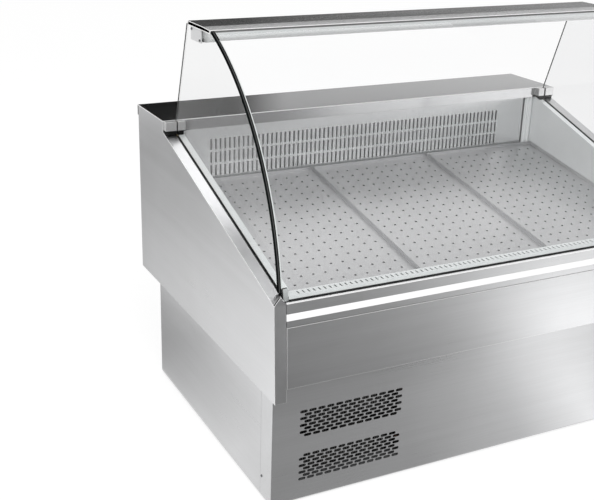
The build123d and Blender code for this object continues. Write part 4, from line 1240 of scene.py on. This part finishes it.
@dataclass
class FrontOfBody:
    """Apron and rail under the glass, with the white strip set in the rail."""

    fold_radius: float = 0.0015

    def build(self) -> None:
        """Make the folded sheets and dress the strip."""
        for node in ("front_apron", "front_rail"):
            Workshop.folded(node, self.fold_radius, "steel", STEEL_LONG)
        Workshop.dress(WHITE_STRIP, "bumper_strip")


@dataclass
class Plinth:
    """Recessed base with its slotted panels, inner frame, feet and screws."""

    screw_radius: float = 0.0046
    screw_height: float = 0.0024
    slot_length: float = 0.0044
    slot_width: float = 0.0011
    slot_depth: float = 0.0014

    def build(self) -> None:
        """Dress the panels and make the screws."""
        Workshop.dress(STEEL_LONG, "plinth_front_panel", "plinth_rear_panel", "rear_panel", "body_floor_pan")
        Workshop.dress(STEEL_DEEP, "plinth_side_left", "plinth_side_right")
        Workshop.dress(FRAME_PAINT, "base_frame")
        Workshop.dress(STEEL_DARK, "levelling_feet")
        Workshop.dress(BLACK_PLASTIC, "mains_gland")
        Workshop.dress(FOAM, "insulation")
        heads = Patterns().dome_screws().run({
            "Head Radius": self.screw_radius,
            "Head Height": self.screw_height,
            "Slot Length": self.slot_length,
            "Slot Width": self.slot_width,
            "Slot Depth": self.slot_depth,
        }, STEEL_DARK, Workshop.seats("panel_screws", self.screw_height))
        Workshop.piece("panel_screw_heads", heads, "cabinet", "dark_steel", STEEL_DARK, ("panel_screws",))


@dataclass
class Worktop:
    """Operator's worktop with its fascia and rounded lip."""

    fold_radius: float = 0.0018

    def build(self) -> None:
        """Make the worktop with rounded folds."""
        Workshop.folded("worktop", self.fold_radius, "steel", STEEL_TOP)


@dataclass
class DisplayWell:
    """Tub, air wall, grilles, lift-out trays and the drain."""

    def build(self) -> None:
        """Dress the sheets and the drain."""
        # These sheets take the paler steel that stands in for the lamp's light in the well: painted
        # lamplight.
        Workshop.dress(STEEL_AIR_WALL_LAMPLIT, "air_grille")
        Workshop.dress(STEEL_WELL_LAMPLIT, "tub_liner", "fan_plate", "return_grille", "drain_outlet")
        Workshop.dress(STEEL_CORNER_LAMPLIT, "corner_cover")
        Workshop.dress(STEEL_DEEP, "tray_supports")
        Workshop.dress(STEEL_TRAY, "display_tray_left", "display_tray_middle", "display_tray_right")
        Workshop.dress(GREY_PIPE, "drain_pipe")


@dataclass
class GlassWork:
    """Bent front glass on its hinge, flat end panes, seals and clamps."""

    clamp_radius: float = 0.0015

    def build(self) -> None:
        """Dress the panes and seals, and make the clamps."""
        Workshop.dress(GLASS_BENT, "front_glass")
        Workshop.dress(GLASS_FLAT, "end_glass_left", "end_glass_right")
        Workshop.dress(PANE_SEAL, "end_glass_seals")
        Workshop.dress(RUBBER, "glass_foot_seal")
        Workshop.dress(PROFILE, "glass_foot_profile", "hinge_blocks")
        Workshop.folded("glass_clamps", self.clamp_radius, "dark_steel", CLAMP)


@dataclass
class LampBar:
    """Top bar with the lamp under it, its brackets and the bolts through the end panes."""

    fold_radius: float = 0.0015
    head_radius: float = 0.0042
    head_height: float = 0.0030
    socket_radius: float = 0.0019
    shank_radius: float = 0.0030
    shank_length: float = 0.0150
    nut_radius: float = 0.0055
    nut_height: float = 0.0030
    nut_depth: float = 0.0120

    def build(self) -> None:
        """Make the bar and the bolts, and dress the lamp."""
        Workshop.folded("top_bar", self.fold_radius, "steel", STEEL_TOP)
        Workshop.dress(STEEL_SATIN, "lamp_brackets")
        Workshop.dress(PROFILE, "lamp_housing")
        Workshop.dress(OPAL, "lamp_diffuser")
        Workshop.dress(BOARD, "lamp_board")
        bolts = Patterns().pane_bolts().run({
            "Head Radius": self.head_radius,
            "Head Height": self.head_height,
            "Socket Radius": self.socket_radius,
            "Shank Radius": self.shank_radius,
            "Shank Length": self.shank_length,
            "Nut Radius": self.nut_radius,
            "Nut Height": self.nut_height,
            "Nut Depth": self.nut_depth,
        }, STEEL_DARK, Workshop.seats("bracket_bolts", self.head_height))
        Workshop.piece("bracket_bolt_set", bolts, "cabinet", "dark_steel", STEEL_DARK, ("bracket_bolts",))


@dataclass
class CoolingParts:
    """Evaporator behind the well and condensing unit in the plinth, with fans and pipes."""

    fin_thickness: float = 0.0003
    edge_gap: float = 0.002
    unit_pitch: float = 0.00267
    unit_low: Triple = (-0.607, -0.391, 0.072)
    unit_high: Triple = (-0.287, -0.345, 0.302)
    coil_pitch: float = 0.004
    coil_low: Triple = (-0.540, 0.359, 0.484)
    coil_high: Triple = (0.540, 0.441, 0.720)

    def build(self) -> None:
        """Dress the solids and add the fine fins between those of the CAD coils."""
        Workshop.dress(FINS_BRIGHT, "evaporator_coil")
        Workshop.dress(FINS_UNIT, "condenser_coil")
        Workshop.dress(MOTOR_PAINT, "evaporator_motors", "compressor", "condenser_motor")
        Workshop.dress(FRAME_PAINT, "unit_base_plate", "condenser_shroud")
        Workshop.dress(BLACK_PLASTIC, "evaporator_fan_left", "evaporator_fan_right", "condenser_fan")
        Workshop.dress(COPPER, "suction_line", "liquid_line", "discharge_line")
        self.add_fins("condenser_fine_fins", self.unit_low, self.unit_high, self.unit_pitch, FINS_UNIT)
        self.add_fins("evaporator_fine_fins", self.coil_low, self.coil_high, self.coil_pitch, FINS_BRIGHT)

    def add_fins(self, name: str, low: Triple, high: Triple, pitch: float, finish: Finish) -> None:
        """Fill a box with thin fins.

        Args:
            name: Name of the piece.
            low: Lowest corner of the box.
            high: Highest corner of the box.
            pitch: Distance from fin to fin along X.
            finish: Finish of the fins.
        """
        size = Vector(high) - Vector(low)
        fins = Patterns.fin_pack().run({
            "Length": size.x,
            "Pitch": pitch,
            "Fin Thickness": self.fin_thickness,
            "Fin Depth": size.y - 2 * self.edge_gap,
            "Fin Height": size.z - 2 * self.edge_gap,
        }, finish)
        fins.transform(Matrix.Translation((Vector(low) + Vector(high)) / 2))
        Workshop.piece(name, fins, "cabinet", "fins", finish)


@dataclass
class Controls:
    """Control plate on the operator's side: knob with its scale, display window and two rockers."""

    knob_centre: Triple = (0.402, 0.512, 0.845)
    knob_radius: float = 0.015
    knob_base: float = 0.0035
    rib_count: int = 30
    rib_size: Triple = (0.0011, 0.0013, 0.0075)
    mark_height: float = 0.0002
    pointer_radius: float = 0.0095
    pointer_length: float = 0.0090
    pointer_width: float = 0.0014
    pointer_lift: float = 0.01555
    scale_radius: float = 0.0212
    scale_count: int = 7
    scale_step: float = math.radians(45.0)
    scale_length: float = 0.0030
    scale_width: float = 0.0009
    figure_gap: float = 0.0055
    figure_size: float = 0.0062
    rocker_pivots: dict[str, Triple] = field(default_factory=lambda: {
        "main_switch": (0.524, 0.5065, 0.845), "light_switch": (0.552, 0.5065, 0.845),
    })
    rocker_tilt: float = math.radians(8.0)
    rocker_slope: float = 2.0 / 14.0
    switch_mark_height: float = 0.0070
    switch_mark_lift: float = 0.0062
    on_bar: Triple = (0.0009, 0.0046, 0.0003)
    off_ring_outer: float = 0.0023
    off_ring_inner: float = 0.0015
    off_ring_rise: float = 0.00015
    off_ring_steps: int = 24

    def build(self) -> None:
        """Dress the solids and add ribs, scale and switch marks."""
        Workshop.dress(PLATE_PAINT, "control_panel")
        Workshop.dress(BLACK_PLASTIC, "thermostat_knob")
        Workshop.dress(WINDOW, "thermometer_window")
        Workshop.dress(ROCKER_PLASTIC, "main_switch", "light_switch")
        self.add_bars()
        self.add_figures()
        for node, pivot in self.rocker_pivots.items():
            self.add_rocker_marks(node, pivot)

    def add_bars(self) -> None:
        """Add the knob's grip ribs, the line on its pointer and the lines of the scale round it."""
        ring = Patterns.ring_of_bars()
        pointer = (self.pointer_length, self.pointer_width, self.mark_height)
        lines = (self.scale_length, self.scale_width, self.mark_height)
        rib_lift = self.knob_base + self.rib_size[2] / 2
        rib_step = math.tau / self.rib_count
        for name, body, slot, finish, count, radius, step, size, lift in (
            ("knob_grip_ribs", "knob", "black_plastic", BLACK_PLASTIC,
             self.rib_count, self.knob_radius, rib_step, self.rib_size, rib_lift),
            ("knob_pointer_line", "knob", "white_plastic", MARK_WHITE,
             1, self.pointer_radius, 0.0, pointer, self.pointer_lift),
            ("knob_scale_lines", "cabinet", "white_plastic", MARK_WHITE,
             self.scale_count, self.scale_radius, self.scale_step, lines, self.mark_height / 2),
        ):
            bars = ring.run({
                "Count": float(count),
                "Radius": radius,
                "Step": step,
                "Bar Length": size[0],
                "Bar Width": size[1],
                "Bar Height": size[2],
            }, finish)
            bars.transform(self.outward(lift))
            Workshop.piece(name, bars, body, slot, finish)

    def outward(self, lift: float) -> Matrix:
        """Return the place on the plate's face at the knob, with Z out of the plate and X up."""
        turn = Matrix(((0.0, 1.0, 0.0), (0.0, 0.0, 1.0), (1.0, 0.0, 0.0))).to_4x4()
        return Matrix.Translation(Vector(self.knob_centre) + Vector((0.0, lift, 0.0))) @ turn

    def add_figures(self) -> None:
        """Add the figures of the scale round the knob."""
        figures = bmesh.new()
        turn = Matrix(((-1.0, 0.0, 0.0), (0.0, 0.0, 1.0), (0.0, 1.0, 0.0))).to_4x4()
        for number in range(self.scale_count):
            angle = number * self.scale_step
            spot = Vector((math.sin(angle), 0.0, math.cos(angle))) * (self.scale_radius + self.figure_gap)
            figure = self.figure(str(number))
            figure.transform(Matrix.Translation(Vector(self.knob_centre) + spot) @ turn)
            figures.from_mesh(figure)
            bpy.data.meshes.remove(figure)
        Workshop.piece("knob_scale_figures", Workshop.plain(figures), "cabinet", "white_plastic", MARK_WHITE)

    def figure(self, text: str) -> bpy.types.Mesh:
        """Make a figure of the scale.

        Args:
            text: The figure.

        Returns:
            A thin mesh about the origin.
        """
        words = bpy.data.curves.new("figure", "FONT")
        words.body = text
        words.size = self.figure_size
        words.align_x = "CENTER"
        words.align_y = "CENTER"
        words.extrude = self.mark_height / 2
        carrier = bpy.data.objects.new("figure", words)
        bpy.context.scene.collection.objects.link(carrier)
        depsgraph = bpy.context.evaluated_depsgraph_get()
        made = bpy.data.meshes.new_from_object(carrier.evaluated_get(depsgraph), depsgraph=depsgraph)
        bpy.data.objects.remove(carrier)
        bpy.data.curves.remove(words)
        return made

    def add_rocker_marks(self, node: str, pivot: Triple) -> None:
        """Add the on bar to the upper half of a rocker and the off ring to the lower one.

        Args:
            node: CAD node of the rocker.
            pivot: Its axle.
        """
        out = Vector((0.0, math.cos(self.rocker_tilt), -math.sin(self.rocker_tilt)))
        up = Vector((0.0, math.sin(self.rocker_tilt), math.cos(self.rocker_tilt)))
        side = up.cross(out)
        lift = self.switch_mark_lift + self.switch_mark_height * self.rocker_slope
        places = []
        for half in (1.0, -1.0):
            face_up = (up + out * half * self.rocker_slope).normalized()
            face_out = side.cross(face_up)
            seat = Vector(pivot) + up * half * self.switch_mark_height + out * lift
            turn = Matrix((side, face_up, face_out)).transposed().to_4x4()
            places.append(Matrix.Translation(seat) @ turn)
        marks = bmesh.new()
        bmesh.ops.create_cube(marks, size=1.0, matrix=places[0] @ Matrix.Diagonal((*self.on_bar, 1.0)))
        self.add_ring(marks, places[1])
        bmesh.ops.recalc_face_normals(marks, faces=marks.faces)
        body = frame["nodes"][node]["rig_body"]
        Workshop.piece(f"{node}_marks", Workshop.plain(marks), body, "white_plastic", MARK_WHITE)

    def add_ring(self, solid: bmesh.types.BMesh, place: Matrix) -> None:
        """Add the thin flat off ring.

        Args:
            solid: Mesh that it goes into.
            place: Its place, with Z out of the surface.
        """
        outer, inner = self.off_ring_outer, self.off_ring_inner
        rise, steps = self.off_ring_rise, self.off_ring_steps
        angles = [math.tau * i / steps for i in range(steps)]
        rows = []
        for radius, z in ((outer, -rise), (outer, rise), (inner, rise), (inner, -rise)):
            rows.append([
                solid.verts.new(place @ Vector((radius * math.cos(a), radius * math.sin(a), z)))
                for a in angles
            ])
        for row, following in zip(rows, rows[1:] + rows[:1]):
            for i in range(steps):
                j = (i + 1) % steps
                solid.faces.new((row[i], row[j], following[j], following[i]))


class Sight(Enum):
    """Which polished surfaces see a card: bare ones, those behind a pane, or both."""

    BARE = (True, False)
    BEHIND_GLASS = (False, True)
    BOTH = (True, True)


@dataclass(frozen=True)
class ReflectorCard:
    """A flat studio card that only polished surfaces see, shaded along one direction.

    Each stop is a place along the direction and a brightness.
    """

    name: str
    low: Triple
    high: Triple
    direction: Triple
    stops: tuple[Pair, ...]
    sight: Sight = Sight.BARE
    first_mirror: float = 0.5

    def corners(self) -> list[Triple]:
        """Find the card's corners, which lie between its lowest and its highest one.

        Returns:
            The four corners in order round the card.
        """
        low, high = self.low, self.high
        first, second = (i for i in range(3) if low[i] != high[i])
        found = []
        for one, other in ((low, low), (high, low), (high, high), (low, high)):
            corner = list(low)
            corner[first] = one[first]
            corner[second] = other[second]
            found.append(tuple(corner))
        return found

    def build(self) -> None:
        """Make the card and hide it from all but mirrored rays."""
        graph = MaterialGraph(self.name)
        along = graph.read("ShaderNodeVectorMath", {"operation": "DOT_PRODUCT"},
                           {0: graph.place, 1: self.direction}, "Value")
        start, end = self.stops[0][0], self.stops[-1][0]
        brightest = max(level for place, level in self.stops)
        shades = [((place - start) / (end - start), grey(level / brightest)) for place, level in self.stops]
        shade = graph.read("ShaderNodeValToRGB", {"stops": shades}, {"Fac": (along - start) / (end - start)})
        glow = graph.read("ShaderNodeEmission", None, {"Color": shade, "Strength": brightest})
        mirrored = graph.ray("Glossy Depth")[0] > self.first_mirror
        graph.close(graph.blended(mirrored, graph.clear(grey(1.0)), glow))
        card = Studio.sheet(self.name, self.corners(), graph.material)
        card.visible_camera = False
        card.visible_diffuse = False
        card.visible_glossy, card.visible_transmission = self.sight.value
        card.visible_volume_scatter = False
        card.visible_shadow = False


FRONT_SKEW: Triple = (1.0, 0.42, 0.0)
REAR_SKEW: Triple = (-1.0, 0.35, 0.0)
RIGHT_SKEW: Triple = (0.5, 1.0, 0.0)
LENGTHWISE: Triple = (1.0, 0.0, 0.0)
INWARDS: Triple = (0.0, 1.0, 0.0)

CARDS = (
    ReflectorCard("rail_card", (-4.0, -4.5, 0.004), (4.0, -1.88, 0.004), FRONT_SKEW, (
        (-0.9, 0.20), (-0.1, 0.32), (0.2, 0.50), (0.5, 0.90), (2.0, 1.50),
    ), Sight.BOTH),
    ReflectorCard("apron_card", (-4.0, -1.88, 0.004), (4.0, -1.25, 0.004), FRONT_SKEW, (
        (-1.1, 0.20), (-0.4, 0.36), (0.05, 0.70), (0.4, 2.50), (0.8, 1.90),
    )),
    ReflectorCard("under_apron_card", (-4.0, -1.25, 0.005), (4.0, -0.98, 0.005), FRONT_SKEW, (
        (-0.9, 0.20), (-0.3, 0.30), (0.0, 0.50), (0.35, 1.30), (0.6, 0.85),
    )),
    ReflectorCard("plinth_card", (-4.0, -0.98, 0.005), (4.0, -0.43, 0.005), FRONT_SKEW, (
        (-0.9, 0.38), (-0.4, 0.44), (0.0, 0.75), (0.3, 1.40), (0.8, 0.70),
    )),
    ReflectorCard("left_floor_card", (-4.0, -0.43, 0.004), (-1.0, 5.5, 0.004), INWARDS, (
        (0.0, 1.30), (1.0, 1.00), (2.0, 0.65), (3.5, 0.40), (5.5, 1.00),
    )),
    ReflectorCard("plinth_side_card", (-1.0, -0.43, 0.004), (-0.712, 5.5, 0.004), INWARDS, (
        (-0.1, 1.00), (0.7, 0.45), (1.3, 0.35),
    )),
    ReflectorCard("rear_floor_card", (-1.0, 0.56, 0.004), (4.0, 5.5, 0.004), REAR_SKEW, (
        (-2.0, 0.95), (-1.0, 0.70), (-0.3, 0.48), (0.4, 0.40), (1.2, 0.52), (2.2, 0.80),
    )),
    ReflectorCard("right_floor_card", (0.712, -0.43, 0.004), (4.0, 0.56, 0.004), RIGHT_SKEW, (
        (0.0, 0.90), (0.5, 0.70), (1.0, 0.50), (1.5, 0.45), (2.5, 0.80),
    )),
    ReflectorCard("worktop_card", (-0.5, 2.6, 0.5), (4.0, 2.6, 1.63), LENGTHWISE, (
        (-0.5, 0.80), (-0.1, 0.01), (0.5, 0.01), (0.8, 0.50), (4.0, 0.80),
    )),
    ReflectorCard("bar_card", (-0.5, 2.6, 1.63), (4.0, 2.6, 2.05), LENGTHWISE, (
        (-0.5, 0.80), (-0.1, 0.08), (0.8, 0.09), (4.0, 0.30),
    )),
    ReflectorCard("bar_fold_card", (-0.5, 2.6, 2.12), (4.0, 2.6, 2.55), LENGTHWISE, (
        (-0.50, 1.25), (4.00, 1.30),
    )),
    ReflectorCard("ceiling_card", (-0.60, 0.4, 4.0), (2.20, 3.0, 4.0), INWARDS, (
        (0.4, 1.10), (1.25, 1.20), (1.42, 2.60), (3.0, 2.80),
    ), Sight.BEHIND_GLASS),
    ReflectorCard("back_fold_card", (-3.2, 3.2, 1.5), (-0.5, 3.2, 3.2), LENGTHWISE, (
        (-3.2, 1.30), (-0.5, 1.25),
    )),
    ReflectorCard("left_fold_card", (-3.2, -0.5, 1.7), (-3.2, 3.2, 4.5), INWARDS, (
        (-0.5, 1.25), (3.2, 1.30),
    )),
)


@dataclass
class Studio:
    """Pale floor, soft lamps, white surroundings and the cards that shade the steel."""

    floor_half: float = 30.0
    floor_level: float = 0.80
    seen_level: float = 0.40
    floor_glow: float = 0.70
    under_level: float = 0.02
    footprint: Pair = (0.70, 0.44)
    footprint_middle: float = 0.020
    fill: float = 0.72
    key_place: Triple = (-1.8, -3.6, 3.2)
    key_size: float = 3.2
    key_power: float = 95.0
    side_place: Triple = (3.2, -1.8, 2.4)
    side_size: float = 2.4
    side_power: float = 26.0
    aim: Triple = (0.0, 0.0, 0.7)

    def build(self) -> None:
        """Set up the studio."""
        scene = bpy.context.scene
        scene.view_settings.view_transform = "Standard"
        scene.world = self.make_world()
        self.make_floor()
        self.make_lamp("key_lamp", self.key_place, self.key_size, self.key_power)
        self.make_lamp("side_lamp", self.side_place, self.side_size, self.side_power)
        for card in CARDS:
            card.build()

    @staticmethod
    def sheet(name: str, corners: Sequence[Triple], material: bpy.types.Material) -> bpy.types.Object:
        """Add a flat sheet to the stage, which glows without being a lamp.

        Args:
            name: Name of the sheet.
            corners: Its four corners in order.
            material: Its material.

        Returns:
            The new object.
        """
        mesh = bpy.data.meshes.new(name)
        mesh.from_pydata(corners, [], [(0, 1, 2, 3)])
        mesh.materials.append(material)
        material.cycles.emission_sampling = "NONE"
        made = bpy.data.objects.new(name, mesh)
        bpy.context.scene.collection.objects.link(made)
        return made

    def make_world(self) -> bpy.types.World:
        """Make the surroundings, white where they are seen and softer where they only light.

        Returns:
            The world.
        """
        world = bpy.data.worlds.new("studio_air")
        world.use_nodes = True
        graph = Graph(world.node_tree)
        strength = self.fill + (1.0 - self.fill) * graph.seen_background()
        air = graph.read("ShaderNodeBackground", None, {"Color": grey(1.0), "Strength": strength})
        graph.node("ShaderNodeOutputWorld", None, {"Surface": air})
        return world

    def make_floor(self) -> None:
        """Make the pale floor, which is white where it is seen and keeps the counter's shadow, with a
        painted shadow under the counter's footprint where its glow is dimmed.
        """
        graph = MaterialGraph("studio_floor")
        matt = graph.read("ShaderNodeBsdfDiffuse", None, {"Color": grey(self.floor_level)})
        shaded = graph.read("ShaderNodeBsdfDiffuse", None, {"Color": grey(self.seen_level)})
        # Under the counter's footprint the floor's glow is dimmed: a painted shadow.
        across = abs(graph.axis(Axis.ALONG))
        deep = abs(graph.axis(Axis.DEEP) - self.footprint_middle)
        under = (across < self.footprint[0]) * (deep < self.footprint[1])
        lit = graph.tint(under, grey(1.0), grey(self.under_level))
        glow = graph.read("ShaderNodeEmission", None, {"Color": lit, "Strength": self.floor_glow})
        white = graph.read("ShaderNodeAddShader", None, {0: shaded, 1: glow})
        graph.close(graph.blended(graph.seen_background(), matt, white))
        half = self.floor_half
        corners = [(-half, -half, 0.0), (half, -half, 0.0), (half, half, 0.0), (-half, half, 0.0)]
        self.sheet("studio_floor", corners, graph.material)

    def make_lamp(self, name: str, place: Triple, size: float, power: float) -> None:
        """Hang a soft lamp that points at the counter.

        Args:
            name: Name of the lamp.
            place: Where it hangs.
            size: Width of its face.
            power: Its power in watts.
        """
        light = bpy.data.lights.new(name, "AREA")
        light.size = size
        light.energy = power
        lamp = bpy.data.objects.new(name, light)
        lamp.location = place
        lamp.rotation_euler = (Vector(self.aim) - Vector(place)).to_track_quat("-Z", "Y").to_euler()
        lamp.visible_camera = False
        lamp.visible_glossy = False
        lamp.visible_transmission = False
        bpy.context.scene.collection.objects.link(lamp)


@dataclass
class PhotoCamera:
    """Camera at the photograph's viewing angle."""

    place: Triple = (-1.798, -2.670, 1.746)
    yaw: float = 0.4746
    pitch: float = 0.3681
    roll: float = 0.0286
    focal_pixels: float = 1042.29
    sensor: float = 36.0

    def build(self) -> None:
        """Set the camera up as the scene's own."""
        ahead = Vector((math.sin(self.yaw) * math.cos(self.pitch), math.cos(self.yaw) * math.cos(self.pitch),
                        -math.sin(self.pitch)))
        level = ahead.cross(Vector((0.0, 0.0, 1.0))).normalized()
        upright = level.cross(ahead)
        right = math.cos(self.roll) * level + math.sin(self.roll) * upright
        up = math.cos(self.roll) * upright - math.sin(self.roll) * level
        lens = bpy.data.cameras.new("photo_camera")
        lens.sensor_width = self.sensor
        lens.lens = self.focal_pixels * self.sensor / PICTURE_WIDTH
        camera = bpy.data.objects.new("photo_camera", lens)
        turn = Matrix((right, up, -ahead)).transposed().to_4x4()
        camera.matrix_world = Matrix.Translation(self.place) @ turn
        bpy.context.scene.collection.objects.link(camera)
        bpy.context.scene.camera = camera


def main() -> None:
    """Build the camera, the studio and every sub-assembly in order."""
    logging.basicConfig(level=logging.INFO, format="%(message)s")
    PhotoCamera().build()
    Studio().build()
    for assembly in (EndPanels(), FrontOfBody(), Plinth(), Worktop(), DisplayWell(), GlassWork(), LampBar(),
                     CoolingParts(), Controls()):
        LOG.info("building %s", type(assembly).__name__)
        assembly.build()


if __name__ == "__main__":
    main()
